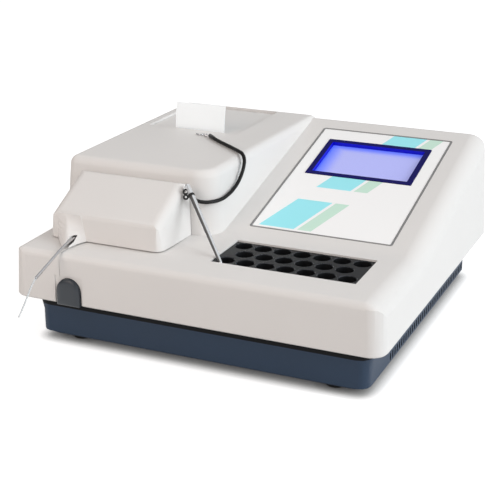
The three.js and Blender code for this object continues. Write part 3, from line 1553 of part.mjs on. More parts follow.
function fanFrame() {
  const back = panel_face - rear_sheet - seat_gap;
  const y = [back - fan_depth, back];
  const body = box(span(fan_x, fan_size), y, span(fan_z, fan_size));
  const bore = rod('y', fan_bore_radius, grown(y, overrun), [fan_x, fan_z], 28);
  const spider_y = [y[0], y[0] + rear_sheet];
  const spiders = [
    box(span(fan_x, 2 * fan_bore_radius + overrun), spider_y, span(fan_z, spider_width)),
    box(span(fan_x, spider_width), spider_y, span(fan_z, 2 * fan_bore_radius + overrun)),
    rod('y', fan_hub_radius, spider_y, [fan_x, fan_z], 18),
  ];
  return join(cut(body, bore), ...spiders);
}

function fanRotor() {
  const back = panel_face - rear_sheet - seat_gap;
  const y = [back - fan_depth + rear_sheet + seat_gap, back - rear_sheet];
  const hub = rod('y', fan_hub_radius, y, [fan_x, fan_z], 18);
  const reach = fan_bore_radius - 2 * running_gap;
  const blades = [];
  for (let i = 0; i < fan_blades; i += 1) {
    const blade = box([fan_hub_radius - overrun, reach], grown(y, -rear_sheet),
      span(0, fan_blade_thickness));
    const turn = new THREE.Matrix4().makeRotationX(radians(fan_blade_angle));
    const spin = new THREE.Matrix4().makeRotationY((i * 2 * Math.PI) / fan_blades);
    const home = new THREE.Vector3(0, middleOf(y), 0);
    blade.translate(0, -home.y, 0).applyMatrix4(turn).applyMatrix4(spin);
    blades.push(blade.translate(fan_x, home.y, fan_z));
  }
  const swept = rod('y', reach, y, [fan_x, fan_z], 32);
  return common(join(hub, ...blades), swept);
}

function fanGuard() {
  const y = [panel_face + seat_gap, panel_face + seat_gap + guard_wire];
  const rim = fan_bore_radius + overrun;
  const parts = [];
  for (let i = 0; i <= fan_guard_rings; i += 1) {
    const outer = rim * ((i + 1) / (fan_guard_rings + 1));
    parts.push(cut(rod('y', outer, y, [fan_x, fan_z], guard_sides),
      rod('y', outer - guard_wire, grown(y, overrun), [fan_x, fan_z], guard_sides)));
  }
  const bar = box(span(fan_x, 2 * rim - guard_wire), y, span(fan_z, guard_wire));
  const post = box(span(fan_x, guard_wire), y, span(fan_z, 2 * rim - guard_wire));
  return join(...parts, bar, post);
}

// Assembly
add('upper_housing', upperHousing(), pale_plastic);
add('base_tray', baseTray(), dark_plastic);
const corner_names = ['front_left', 'front_right', 'rear_right', 'rear_left'];
footPlaces().forEach((place, i) => add(`foot_${corner_names[i]}`, foot(place), black_rubber));
post_places.forEach((place, i) =>
  add(`housing_screw_${corner_names[i]}`, housingScrew(place), steel));

add('incubator_block', incubatorBlock(), black_anodised);
add('incubator_heater', incubatorHeater(), aluminium);
add('incubator_bracket', incubatorBracket(), zinc_sheet);

add('panel_trim', panelTrim(), zinc_sheet, console_frame);
add('panel_sheet', panelSheet(), panel_print, console_frame);
add('display_bezel', displayBezel(), navy_plastic, console_frame);
add('touch_glass', touchGlass(), lit_glass, console_frame);
add('display_module', displayModule(), black_plastic, console_frame);
add('display_board', displayBoard(), board_green, console_frame);

add('pump_hood', pumpHood(), pale_plastic);
add('hood_hinge_pin', hingePin(), steel);
add('hood_hinge_bracket', hingeBracket(), zinc_sheet);
add('sipper_tube', sipperTube(), steel);
add('sipper_tubing', sipperTubing(), clear_tube);
add('sip_button', sipButton(), slate_plastic);
add('sip_switch', sipSwitch(), black_plastic);

add('printer_lid', printerLid(), pale_plastic);
add('printer_mechanism', printerMechanism(), black_plastic);
add('platen_roller', platenRoller(), black_rubber);
add('paper_roll', paperRoll(), paper_white);
add('paper_strip', paperStrip(), paper_white);

add('stylus', stylus(), steel);
add('lanyard_cord', lanyardCord(), black_rubber);
add('lanyard_clip', lanyardClip(), steel);

add('pump_housing', pumpHousing(), black_plastic);
add('pump_rotor', pumpRotor(), paper_white);
add('pump_tube', pumpTube(), clear_tube);
add('pump_motor', pumpMotor(), zinc_sheet);
add('flow_cell', flowCell(), aluminium);
add('detector', detector(), black_plastic);
add('optics_stand', opticsStand(), zinc_sheet);
add('lens_tube', lensTube(), black_anodised);
add('filter_wheel', filterWheel(), black_anodised);
add('filter_motor', filterMotor(), zinc_sheet);
add('lamp_housing', lampHousing(), aluminium);

add('main_board', mainBoard(), board_green);
add('power_supply', powerSupply(), zinc_sheet);
add('rear_panel', rearPanel(), zinc_sheet, rear_frame);
add('power_inlet', powerInlet(), black_plastic, rear_frame);
add('switch_frame', switchFrame(), black_plastic, rear_frame);
add('power_rocker', powerRocker(), slate_plastic, rear_frame);
add('serial_port', serialPort(), zinc_sheet, rear_frame);
add('fan_frame', fanFrame(), black_plastic, rear_frame);
add('fan_rotor', fanRotor(), black_plastic, rear_frame);
add('fan_guard', fanGuard(), steel, rear_frame);

// The origin lies below the middle of everything but the free cords
const loose_cords = ['sipper_tubing', 'lanyard_cord'];
analyzer.updateMatrixWorld(true);
const reach = new THREE.Box3();
analyzer.traverse((mesh) => {
  if (mesh.isMesh && !loose_cords.includes(mesh.name)) reach.expandByObject(mesh, true);
});
const middle = reach.getCenter(new THREE.Vector3());
analyzer.position.set(-middle.x, -middle.y, -reach.min.z);

export default analyzer;
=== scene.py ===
"""Looks of a bench-top chemistry analyzer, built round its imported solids.

Run as a script, it registers the operators below and calls them in order. Lengths are in metres,
+Z is up and the front faces -Y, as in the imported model.
"""

import json
from math import cos, pi, radians, sin, tau

import bpy
from bpy.props import FloatProperty, FloatVectorProperty, PointerProperty
from bpy.types import Operator, Panel, PropertyGroup
from mathutils import Color, Matrix, Vector

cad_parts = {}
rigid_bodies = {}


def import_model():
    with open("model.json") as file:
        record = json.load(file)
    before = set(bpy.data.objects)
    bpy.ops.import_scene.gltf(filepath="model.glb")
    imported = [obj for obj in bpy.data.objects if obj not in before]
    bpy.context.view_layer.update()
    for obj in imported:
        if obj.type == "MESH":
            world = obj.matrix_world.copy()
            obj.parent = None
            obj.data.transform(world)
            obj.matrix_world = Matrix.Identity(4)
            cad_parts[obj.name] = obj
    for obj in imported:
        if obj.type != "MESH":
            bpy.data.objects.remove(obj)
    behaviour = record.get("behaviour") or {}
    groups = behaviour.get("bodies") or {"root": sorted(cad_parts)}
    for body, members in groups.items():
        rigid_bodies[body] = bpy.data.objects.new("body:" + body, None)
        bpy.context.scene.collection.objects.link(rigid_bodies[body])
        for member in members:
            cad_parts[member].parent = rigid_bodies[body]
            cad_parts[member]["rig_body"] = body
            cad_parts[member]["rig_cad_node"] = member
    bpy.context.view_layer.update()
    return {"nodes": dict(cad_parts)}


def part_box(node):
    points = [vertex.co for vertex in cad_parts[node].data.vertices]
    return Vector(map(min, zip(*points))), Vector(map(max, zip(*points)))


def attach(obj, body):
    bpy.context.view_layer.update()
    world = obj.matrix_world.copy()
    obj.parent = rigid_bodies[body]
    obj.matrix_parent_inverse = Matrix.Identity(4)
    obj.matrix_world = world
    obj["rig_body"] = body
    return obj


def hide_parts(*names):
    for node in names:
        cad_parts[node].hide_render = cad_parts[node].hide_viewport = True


bl_info = {
    "name": "Chemistry Analyzer",
    "version": (1, 0, 0),
    "blender": (4, 5, 0),
    "location": "View3D > Sidebar > Analyzer",
    "description": "Builds the pieces and finishes of a bench-top chemistry analyzer",
    "category": "Object",
}

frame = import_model()
body_of = {node: solid["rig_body"] for node, solid in frame["nodes"].items()}

MILLIMETRE = 0.001
MERGE_DISTANCE = 0.000004
CASE_EDGE = 0.0004
FLAT_ANGLE = radians(0.2)
SHARP_ANGLE = radians(32)
FACING = 0.9


# Settings that a user may change


def shown_colour(name, description, default):
    """A colour as it shows on a screen"""
    return FloatVectorProperty(name=name, description=description, subtype="COLOR_GAMMA",
                               size=3, min=0.0, max=1.0, default=default)


def number_setting(name, description, default, **kind):
    """A number, with a unit where its kind has one"""
    return FloatProperty(name=name, description=description, default=default, **kind)


def length_setting(name, description, default):
    """A length in metres"""
    return number_setting(name, description, default, subtype="DISTANCE", unit="LENGTH", min=0.0)


class AnalyzerColours(PropertyGroup):
    """Colours of the analyzer's finishes"""

    housing: shown_colour("Housing", "Pale moulded housing and hood", (0.875, 0.866, 0.858))
    base: shown_colour("Base", "Dark base tray", (0.155, 0.225, 0.31))
    button: shown_colour("Button", "Sip button", (0.165, 0.19, 0.22))
    panel: shown_colour("Panel", "Ground of the printed panel", (0.99, 0.99, 0.99))
    band: shown_colour("Band", "Wide slanting band on the panel", (0.62, 0.94, 0.98))
    side_band: shown_colour("Side band", "Narrow slanting band", (0.8, 0.925, 0.86))
    trim: shown_colour("Trim", "Metal edge of the panel", (0.6, 0.6, 0.6))
    frame: shown_colour("Display frame", "Face of the display frame", (0.05, 0.035, 0.36))
    # Painted glow: the frame's inner walls get a bright blue that also emits, standing in for the
    # display's light falling on them
    painted_frame_glow: shown_colour("Display frame wall", "Inner walls", (0.03, 0.04, 0.72))
    lit: shown_colour("Lit display", "Middle of the lit display", (0.67, 0.69, 0.93))
    glow: shown_colour("Display glow", "Left and rear edges of the lit display", (0.36, 0.47, 1.0))
    cord: shown_colour("Cord", "Lanyard cord and sleeves", (0.05, 0.05, 0.05))
    floor: shown_colour("Floor", "Plain floor", (0.8, 0.8, 0.8))


class AnalyzerSizes(PropertyGroup):
    """Small sizes that the solids leave to the finished pieces"""

    mould_edge: length_setting("Moulded edge", "Roundover of a moulded edge", 0.0006)
    metal_edge: length_setting("Metal edge", "Roundover of a metal edge", 0.0002)
    cord_radius: length_setting("Cord radius", "Radius of the lanyard cord", 0.0018)
    tubing_radius: length_setting("Tubing radius", "Radius of the sipper tubing", 0.00075)
    sipper_radius: length_setting("Sipper radius", "Radius of the steel sipper tube", 0.0013)
    clip_radius: length_setting("Clip wire radius", "Radius of the clip's wire", 0.0008)


class AnalyzerStage(PropertyGroup):
    """Camera and light"""

    camera_place: FloatVectorProperty(
        name="Camera", description="Place of the camera", subtype="XYZ", unit="LENGTH",
        size=3, default=(0.4482, -1.03469, 0.4741),
    )
    camera_turn: number_setting(
        "Turn", "Turn of the camera about the upright", radians(23.9), subtype="ANGLE")
    camera_dip: number_setting(
        "Dip", "How far the camera looks below the level", radians(20), subtype="ANGLE")
    camera_lens: number_setting("Lens", "Focal length", 86.87, subtype="DISTANCE_CAMERA")
    key_power: number_setting("Key", "Lamp on the right", 70, unit="POWER")
    top_power: number_setting("Top", "Lamp above", 1.2, unit="POWER")
    fill_power: number_setting("Fill", "Lamp in front", 9.2, unit="POWER")
    ambient_left: number_setting(
        "Ambient left", "Strength of the surroundings on the left", 0.26)
    ambient_right: number_setting(
        "Ambient right", "Strength of the surroundings on the right", 0.72)


def colours():
    return bpy.context.scene.analyzer_colours


def sizes():
    return bpy.context.scene.analyzer_sizes


# Tools for the pieces


def nothing_selected():
    """Leaves edit mode and deselects every piece"""
    if bpy.context.object and bpy.context.object.mode != "OBJECT":
        bpy.ops.object.mode_set(mode="OBJECT")
    bpy.ops.object.select_all(action="DESELECT")


def alone(*pieces):
    """Selects only these pieces, with the last one active"""
    nothing_selected()
    for piece in pieces:
        piece.select_set(True)
    bpy.context.view_layer.objects.active = pieces[-1]


def open_all(piece):
    """Opens a piece in edit mode with all of it selected"""
    alone(piece)
    bpy.ops.object.mode_set(mode="EDIT")
    bpy.ops.mesh.select_all(action="SELECT")


def close():
    """Goes back from edit mode"""
    bpy.ops.object.mode_set(mode="OBJECT")


def named(name):
    """The new primitive, under its name"""
    piece = bpy.context.object
    piece.name = name
    return piece


def copy_of_solid(node, name):
    """A piece that starts as a solid's own shape, with its loose triangles merged"""
    alone(frame["nodes"][node])
    bpy.ops.object.duplicate()
    piece = named(name)
    piece.parent = None
    del piece["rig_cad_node"]
    del piece["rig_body"]
    piece.data.materials.clear()
    open_all(piece)
    bpy.ops.mesh.remove_doubles(threshold=MERGE_DISTANCE)
    bpy.ops.mesh.dissolve_limited(angle_limit=FLAT_ANGLE)
    close()
    return piece


def apply_modifier(piece, kind, **settings):
    """Adds a modifier, sets it and applies it"""
    alone(piece)
    bpy.ops.object.modifier_add(type=kind)
    modifier = piece.modifiers[-1]
    for key, value in settings.items():
        setattr(modifier, key, value)
    bpy.ops.object.modifier_apply(modifier=modifier.name)


def round_edges(piece, width, segments=2):
    """Rounds every sharp edge"""
    apply_modifier(piece, "BEVEL", width=width, segments=segments, limit_method="ANGLE",
                   angle_limit=SHARP_ANGLE, use_clamp_overlap=True, miter_outer="MITER_ARC")


def smooth(piece, angle=SHARP_ANGLE):
    """Shades curved faces smooth and keeps flat ones flat"""
    alone(piece)
    bpy.ops.object.shade_smooth_by_angle(angle=angle)


def shade(piece):
    """Shades a piece, with its large faces leading the light on its rounded edges"""
    smooth(piece)
    apply_modifier(piece, "WEIGHTED_NORMAL", keep_sharp=True, weight=100)


def settle(piece):
    """Moves a piece's place and turn into its mesh"""
    alone(piece)
    bpy.ops.object.transform_apply(location=True, rotation=True, scale=True)


def material_of(finish):
    """A shared finish by its name, or a piece's own material as it is"""
    return finishes[finish] if isinstance(finish, str) else finish


def join_in(piece, finish, node):
    """Gives an added piece its finish and lets it ride with a solid"""
    piece.data.materials.clear()
    piece.data.materials.append(material_of(finish))
    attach(piece, body_of[node])
    return piece


def hand_over(piece, finish, node):
    """Gives a piece its finish and lets it stand for a solid, on that solid's body"""
    join_in(piece, finish, node)
    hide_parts(node)
    return piece


def add_shaded(piece, finish, node):
    """Shades an added piece before it joins in"""
    shade(piece)
    return join_in(piece, finish, node)


def dress(node, name, finish, edge=None, segments=2):
    """A finished piece in a solid's own shape; without a width its edges are as on metal"""
    piece = copy_of_solid(node, name)
    if edge is None:
        edge = sizes().metal_edge
    if edge:
        round_edges(piece, edge, segments)
    shade(piece)
    return hand_over(piece, finish, node)


def dress_all(*rows):
    """Dresses one solid for each row of what dress takes"""
    for row in rows:
        dress(*row)


def pick_faces(piece, test):
    """Opens a piece in edit mode with only the faces that pass the test selected"""
    alone(piece)
    bpy.ops.object.mode_set(mode="EDIT")
    bpy.ops.mesh.select_mode(type="FACE")
    bpy.ops.mesh.select_all(action="DESELECT")
    close()
    for face in piece.data.polygons:
        face.select = bool(test(face.center, face.normal))
    bpy.ops.object.mode_set(mode="EDIT")


def paint(piece, finish, test):
    """Gives the faces that pass the test another finish"""
    piece.data.materials.append(material_of(finish))
    slot = len(piece.data.materials) - 1
    for face in piece.data.polygons:
        if test(face.center, face.normal):
            face.material_index = slot


def turned(name, profile, sides):
    """A round piece, extruded ring by ring through (radius, height) pairs, facing outwards"""
    nothing_selected()
    first_radius, first_height = profile[0]
    bpy.ops.mesh.primitive_circle_add(
        vertices=sides, radius=first_radius, fill_type="NGON", location=(0, 0, first_height))
    piece = named(name)
    settle(piece)
    open_all(piece)
    for (radius, height), (next_radius, next_height) in zip(profile, profile[1:]):
        bpy.ops.mesh.extrude_region_move(
            TRANSFORM_OT_translate={"value": (0, 0, next_height - height)})
        share = next_radius / radius
        bpy.ops.transform.resize(value=(share, share, 1), center_override=(0, 0, next_height))
    open_all(piece)
    bpy.ops.mesh.remove_doubles(threshold=MERGE_DISTANCE)
    bpy.ops.mesh.normals_make_consistent(inside=False)
    close()
    return piece


def put(piece, matrix):
    """Puts a piece that was made at the origin where it belongs"""
    piece.matrix_world = matrix
    settle(piece)
    return piece


def copy_to(piece, name, matrix):
    """A copy of a piece that was made at the origin, with its own mesh"""
    alone(piece)
    bpy.ops.object.duplicate()
    return put(named(name), matrix)


def joined(name, pieces):
    """One piece from several"""
    alone(*pieces)
    bpy.ops.object.join()
    return named(name)


def drop(*pieces):
    """Deletes pieces that were only patterns"""
    alone(*pieces)
    bpy.ops.object.delete()


def block_between(name, low, high, edge=0.0, segments=2):
    """A block with rounded edges between two corners"""
    nothing_selected()
    low, high = Vector(low), Vector(high)
    bpy.ops.mesh.primitive_cube_add(size=1, location=(low + high) / 2, scale=high - low)
    piece = named(name)
    settle(piece)
    if edge:
        round_edges(piece, edge, segments)
    return piece


def along(start, end):
    """Turns +Z to the direction from start to end, and moves the origin to start"""
    start, end = Vector(start), Vector(end)
    turn = (end - start).to_track_quat("Z", "Y").to_matrix().to_4x4()
    return Matrix.Translation(start) @ turn


def wire_between(name, start, end, radius):
    """A straight round wire with softened ends"""
    length = (Vector(end) - Vector(start)).length
    edge = radius * 0.2
    wire = turned(name, [
        (radius - edge, 0), (radius, edge), (radius, length - edge), (radius - edge, length)], 12)
    return put(wire, along(start, end))


def ring(name, radius, wire, matrix, around=48, across=10):
    """A round wire bent to a ring"""
    nothing_selected()
    bpy.ops.mesh.primitive_torus_add(
        major_radius=radius, minor_radius=wire, major_segments=around, minor_segments=across)
    return put(named(name), matrix)


def cut_away(piece, cutter):
    """Cuts a shape out of a piece"""
    apply_modifier(piece, "BOOLEAN", object=cutter, operation="DIFFERENCE", solver="EXACT")
    drop(cutter)
    return piece


def cut_cross(piece, arm, half, low, high):
    """Cuts a screwdriver's cross into a piece round the Z axis"""
    for x, y in ((arm, half), (half, arm)):
        cut_away(piece, block_between("cross_cutter", (-x, -y, low), (x, y, high)))
    return piece


def cross_screw(name, radius, height):
    """A pan-head screw's head with a cross in it, standing up from the origin"""
    head = turned(name, [
        (radius, 0), (radius, height * 0.45), (radius * 0.9, height * 0.8),
        (radius * 0.6, height)], 28)
    return cut_cross(head, radius * 0.62, radius * 0.11, height * 0.4, height * 2)


# Finishes


def feed(node, inputs):
    """Sets a node's inputs, each to a value or to another node's socket"""
    for key, value in dict(inputs).items():
        if isinstance(value, bpy.types.NodeSocket):
            node.id_data.links.new(value, node.inputs[key])
        else:
            node.inputs[key].default_value = value
    return node


def add_node(material, kind, inputs=(), **settings):
    """Adds a shader node with these inputs and settings"""
    made = material.node_tree.nodes.new(kind)
    for key, value in settings.items():
        setattr(made, key, value)
    return feed(made, inputs)


def reckon(material, operation, *values):
    """The result of one sum on values or sockets"""
    return add_node(material, "ShaderNodeMath", enumerate(values), operation=operation).outputs[0]


def between(material, value, low, high):
    """One inside the limits and nought outside them"""
    return reckon(material, "MULTIPLY", reckon(material, "GREATER_THAN", value, low),
                  reckon(material, "LESS_THAN", value, high))


def ranged(material, value, start, end, low, high, kind="LINEAR"):
    """A value carried over from the range start to end into the range low to high"""
    return add_node(material, "ShaderNodeMapRange", {
        "Value": value, "From Min": start, "From Max": end, "To Min": low, "To Max": high},
        interpolation_type=kind).outputs["Result"]


def mixed(material, share, first, second):
    """A share of the second colour over the first"""
    return add_node(material, "ShaderNodeMix", {
        "Factor": share, "A": first, "B": second}, data_type="RGBA").outputs["Result"]


def axes_of(material, space="Object"):
    """The three axes of the shaded place"""
    place = add_node(material, "ShaderNodeTexCoord").outputs[space]
    return add_node(material, "ShaderNodeSeparateXYZ", {"Vector": place}).outputs


def linear(colour, share=1.0):
    """A shown colour as the shader takes it, dimmed by a share"""
    base = Color(colour).from_srgb_to_scene_linear()
    return (base.r * share, base.g * share, base.b * share, 1.0)


def bare_material(name, **sockets):
    """A new material whose shader has these plain values"""
    material = bpy.data.materials.new(name)
    material.use_nodes = True
    shader = material.node_tree.nodes["Principled BSDF"]
    feed(shader, {key.replace("_", " "): value for key, value in sockets.items()})
    return material, shader


def finish_of(name, colour, roughness, blotch=14, shade_share=0.94, grain=1400,
              depth=0.00001, stretch=(1, 1, 1), **sockets):
    """A finish with faint blotches in colour and gloss, and a fine grain in its surface"""
    material, shader = bare_material(name, **sockets)
    place = add_node(material, "ShaderNodeTexCoord").outputs["Object"]
    place = add_node(material, "ShaderNodeMapping", {
        "Vector": place, "Scale": stretch}).outputs["Vector"]
    blotches, grains = (add_node(material, "ShaderNodeTexNoise", {
        "Vector": place, "Scale": scale, "Detail": detail}).outputs["Fac"]
        for scale, detail in ((blotch, 3.0), (grain, 2.0)))
    ramp = add_node(material, "ShaderNodeValToRGB", {"Fac": blotches})
    for stop, position, share in zip(ramp.color_ramp.elements, (0.3, 0.7), (shade_share, 1.0)):
        stop.position = position
        stop.color = linear(colour, share)
    bump = add_node(material, "ShaderNodeBump", {
        "Height": grains, "Strength": 0.5, "Distance": depth})
    feed(shader, {
        "Base Color": ramp.outputs["Color"], "Normal": bump.outputs["Normal"],
        "Roughness": ranged(material, blotches, 0.0, 1.0, *roughness)})
    return material


# Key: material, colour or the name of its setting, least and most roughness, other values
FINISHES = {
    "housing": ("pale_moulding", "housing", (0.52, 0.6), {
        "blotch": 9, "shade_share": 0.975, "depth": 0.000012, "Specular_IOR_Level": 0.35}),
    "base": ("slate_moulding", "base", (0.46, 0.58), {
        "blotch": 16, "shade_share": 0.9, "depth": 0.00002, "Specular_IOR_Level": 0.3}),
    # The neck finish is painted shadow: a near-black put on the tray's neck and inside its slots,
    # where the housing's rim and the slots' walls shade them
    "neck": ("painted_shadow", (0.06, 0.065, 0.075), (0.6, 0.75), {"Specular_IOR_Level": 0.15}),
    "button": ("button_moulding", "button", (0.3, 0.4), {}),
    "rubber": ("foot_rubber", (0.09, 0.09, 0.09), (0.75, 0.9), {"depth": 0.00004}),
    "cord": ("cord_rubber", "cord", (0.4, 0.55), {"Specular_IOR_Level": 0.25}),
    "steel": ("drawn_steel", (0.82, 0.82, 0.83), (0.14, 0.3), {
        "blotch": 60, "depth": 0.000004, "Metallic": 1.0}),
    "polished": ("polished_steel", (0.93, 0.94, 0.95), (0.16, 0.24), {
        "blotch": 120, "depth": 0.000002, "Metallic": 0.7}),
    # Painted shade: a darker grey for the stylus's groove, standing in for the shaded side of the
    # rod
    "groove": ("stylus_groove_painted_shade", (0.4, 0.4, 0.4), (0.3, 0.42), {
        "blotch": 200, "shade_share": 0.7, "Metallic": 0.4}),
    "zinc": ("zinc_sheet", (0.74, 0.75, 0.76), (0.36, 0.5), {
        "blotch": 220, "shade_share": 0.9, "Metallic": 0.9}),
    "painted": ("grey_paint", (0.66, 0.67, 0.68), (0.42, 0.55), {
        "blotch": 60, "shade_share": 0.95, "grain": 900, "depth": 0.00004}),
    "trim": ("trim_metal", "trim", (0.35, 0.5), {"blotch": 30, "Metallic": 0.6}),
    "aluminium": ("machined_aluminium", (0.78, 0.79, 0.8), (0.25, 0.42), {
        "stretch": (1, 14, 1), "grain": 700, "Metallic": 1.0}),
    "anodised": ("black_anodising", (0.085, 0.09, 0.1), (0.36, 0.5), {
        "shade_share": 0.75, "depth": 0.00002, "Metallic": 0.2, "Specular_IOR_Level": 0.35}),
    # Painted highlight: a lighter, glossier grey on the wells' rim chamfers, standing in for the
    # lamps' glint on those edges
    "painted_rim_highlight": ("painted_highlight_anodising", (0.3, 0.31, 0.33), (0.2, 0.34), {
        "blotch": 260, "shade_share": 0.35, "Metallic": 0.7}),
    "clasp": ("black_clasp", (0.035, 0.035, 0.04), (0.25, 0.4), {}),
    "mark": ("white_mark", (0.88, 0.88, 0.87), (0.45, 0.55), {}),
    "gold": ("gold_plating", (0.83, 0.68, 0.35), (0.2, 0.35), {"blotch": 300, "Metallic": 1.0}),
    "chip": ("chip_case", (0.09, 0.09, 0.095), (0.5, 0.62), {"depth": 0.00002}),
    "connector": ("cream_nylon", (0.88, 0.85, 0.76), (0.45, 0.55), {}),
    "black": ("black_plastic", (0.12, 0.125, 0.13), (0.4, 0.55), {"depth": 0.00002}),
    "board": ("solder_mask", (0.1, 0.36, 0.22), (0.3, 0.45), {
        "blotch": 120, "shade_share": 0.75}),
    # Painted glow: the paper gets a faint bluish emission of its own, though it is no lamp
    "paper": ("printer_paper", (0.965, 0.975, 0.98), (0.8, 0.9), {
        "blotch": 60, "shade_share": 0.985, "grain": 2600,
        "Emission_Color": linear((0.9, 0.97, 1.0)), "Emission_Strength": 0.12}),
    "rotor": ("natural_plastic", (0.92, 0.92, 0.9), (0.4, 0.5), {}),
    "tubing": ("clear_tubing", (0.93, 0.95, 0.96), (0.12, 0.22), {
        "blotch": 200, "Transmission_Weight": 0.55, "IOR": 1.4}),
    "navy": ("navy_frame", "frame", (0.5, 0.6), {"Specular_IOR_Level": 0.12}),
}
finishes = {}


def make_finishes():
    """Makes the finishes that several pieces share"""
    for key, (name, colour, roughness, more) in FINISHES.items():
        shown = getattr(colours(), colour) if isinstance(colour, str) else colour
        finishes[key] = finish_of(name, shown, roughness, **more)


# Operators: camera and cords come first


SENSOR_WIDTH = 36


class StepOperator:
    """What every step shares"""

    bl_options = {"REGISTER", "UNDO"}


class ANALYZER_OT_camera(StepOperator, Operator):
    """Place the camera where the photograph was taken from"""

    bl_idname = "analyzer.camera"
    bl_label = "Camera"

    def execute(self, context):
        stage = context.scene.analyzer_stage
        bpy.ops.object.camera_add(
            location=stage.camera_place,
            rotation=(pi / 2 - stage.camera_dip, 0, stage.camera_turn))
        camera = context.object
        camera.data.lens = stage.camera_lens
        camera.data.sensor_width = SENSOR_WIDTH
        context.scene.camera = camera
        return {"FINISHED"}


# Routes repeat those of the solids, in millimetres, before the shift to where the model stands
LANYARD_ROUTE = [
    (-79.5, 36, 159.7), (-68, 24.5, 159.7), (-59, 17, 159.7), (-50.7, 10.5, 159.7),
    (-42, 4, 159.7), (-33.6, -2.8, 159.7), (-26.5, -9, 159.9), (-20, -14.2, 158.8),
    (-16.2, -18.5, 154.5), (-15, -22.6, 149.5), (-14.8, -27, 144.5), (-15, -34.5, 138),
    (-15.4, -45, 133.2), (-15.9, -58, 130.4), (-17.2, -69, 129.3), (-21.4, -79, 129.2),
    (-27, -87, 130.2), (-32.5, -91.6, 132.5), (-36.6, -94, 136),
]
TUBING_ROUTE = [
    (-129.8, -218.4, 84.1), (-130.6, -221.5, 81), (-132.4, -224.2, 75), (-134.8, -226, 68),
    (-137.4, -227, 61.5), (-140.4, -227.6, 55), (-143.6, -228, 48.5),
]
SIPPER_ROUTE = [
    (-129.8, -119, 101), (-129.8, -139.988, 101), (-129.8, -158.006, 100.5992),
    (-129.8, -169.985, 98.5952), (-129.8, -195.032, 91.2973), (-129.8, -218, 84.3),
]
CLIP_ROUTE = [
    (-97, 40, 158.6), (-91.9936, 38.6056, 158.6), (-87.9952, 41.4952, 158.6),
    (-84.5008, 40.504, 158.6), (-85.996, 36.9928, 158.6), (-83.0056, 36.6064, 158.9),
    (-80.2, 36.808, 159.5),
]
ROUTE_SHIFT = 18.207405
SLEEVE_WALL = 0.0003
SLEEVE_EDGE = 0.0008
SLEEVE_SHARE = 0.8


def placed(route):
    """A route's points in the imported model, in metres"""
    return [Vector((x, y + ROUTE_SHIFT, z)) * MILLIMETRE for x, y, z in route]


def curve_along(name, points, radius):
    """A round cord on one smooth curve"""
    line = bpy.data.curves.new(name, "CURVE")
    line.dimensions = "3D"
    line.bevel_depth = radius
    line.bevel_resolution = 5
    line.resolution_u = 10
    line.use_fill_caps = True
    spline = line.splines.new("BEZIER")
    spline.bezier_points.add(len(points) - 1)
    for knot, point in zip(spline.bezier_points, points):
        knot.co = point
        knot.handle_left_type = knot.handle_right_type = "AUTO"
    piece = bpy.data.objects.new(name, line)
    bpy.context.scene.collection.objects.link(piece)
    return piece


def as_mesh(piece):
    """Turns a curve into a mesh, shaded smooth"""
    alone(piece)
    bpy.ops.object.convert(target="MESH")
    smooth(piece)
    return piece


def curve_length(piece):
    """Length of a curve's own line"""
    bpy.context.view_layer.update()
    return sum(spline.calc_length() for spline in piece.data.splines)


class ANALYZER_OT_cords(StepOperator, Operator):
    """Lay the lanyard cord and hang the sipper tubing"""

    bl_idname = "analyzer.cords"
    bl_label = "Cords"

    def execute(self, context):
        sleeves = []
        points = placed(LANYARD_ROUTE)
        thick = sizes().cord_radius + SLEEVE_WALL
        for name, run in (("cord_sleeve_block", points[:3]),
                          ("cord_sleeve_stylus", points[:-4:-1])):
            length = (run[1] - run[0]).length * SLEEVE_SHARE
            sleeve = turned(name, [
                (thick * 0.8, 0), (thick, SLEEVE_EDGE), (thick, length * 0.7),
                (thick * 0.92, length * 0.72), (thick, length * 0.76), (thick * 0.9, length)], 24)
            put(sleeve, along(run[0], run[1]))
            sleeves.append(add_shaded(sleeve, "clasp", "lanyard_cord"))
        for name, route, radius, finish, node, end, firmness, lay, others in (
            ("lanyard_cord_piece", LANYARD_ROUTE, sizes().cord_radius, "cord",
             "lanyard_cord", "object", "medium", "loose", sleeves),
            ("sipper_tubing_piece", TUBING_ROUTE, sizes().tubing_radius, "tubing",
             "sipper_tubing", "bare", "stiff", "hanging", []),
        ):
            points = placed(route)
            piece = curve_along(name, points, radius)
            hand_over(piece, finish, node)
            curve_length(piece)
        return {"FINISHED"}


# Inset and rise of each step of the button's dome
BUTTON_DOME = ((0.0014, 0.0009), (0.0022, 0.0005), (0.003, 0.0002))
BUTTON_EDGE = 0.0003
BUTTON_ANGLE = radians(50)
# The bright lip of the printer lid, from the lid's right side, its ends and its top
LIP_INSETS = (0.0032, 0.0018)
LIP_ENDS = (0.004, 0.012)
LIP_HEIGHTS = (-0.0003, 0.0007)


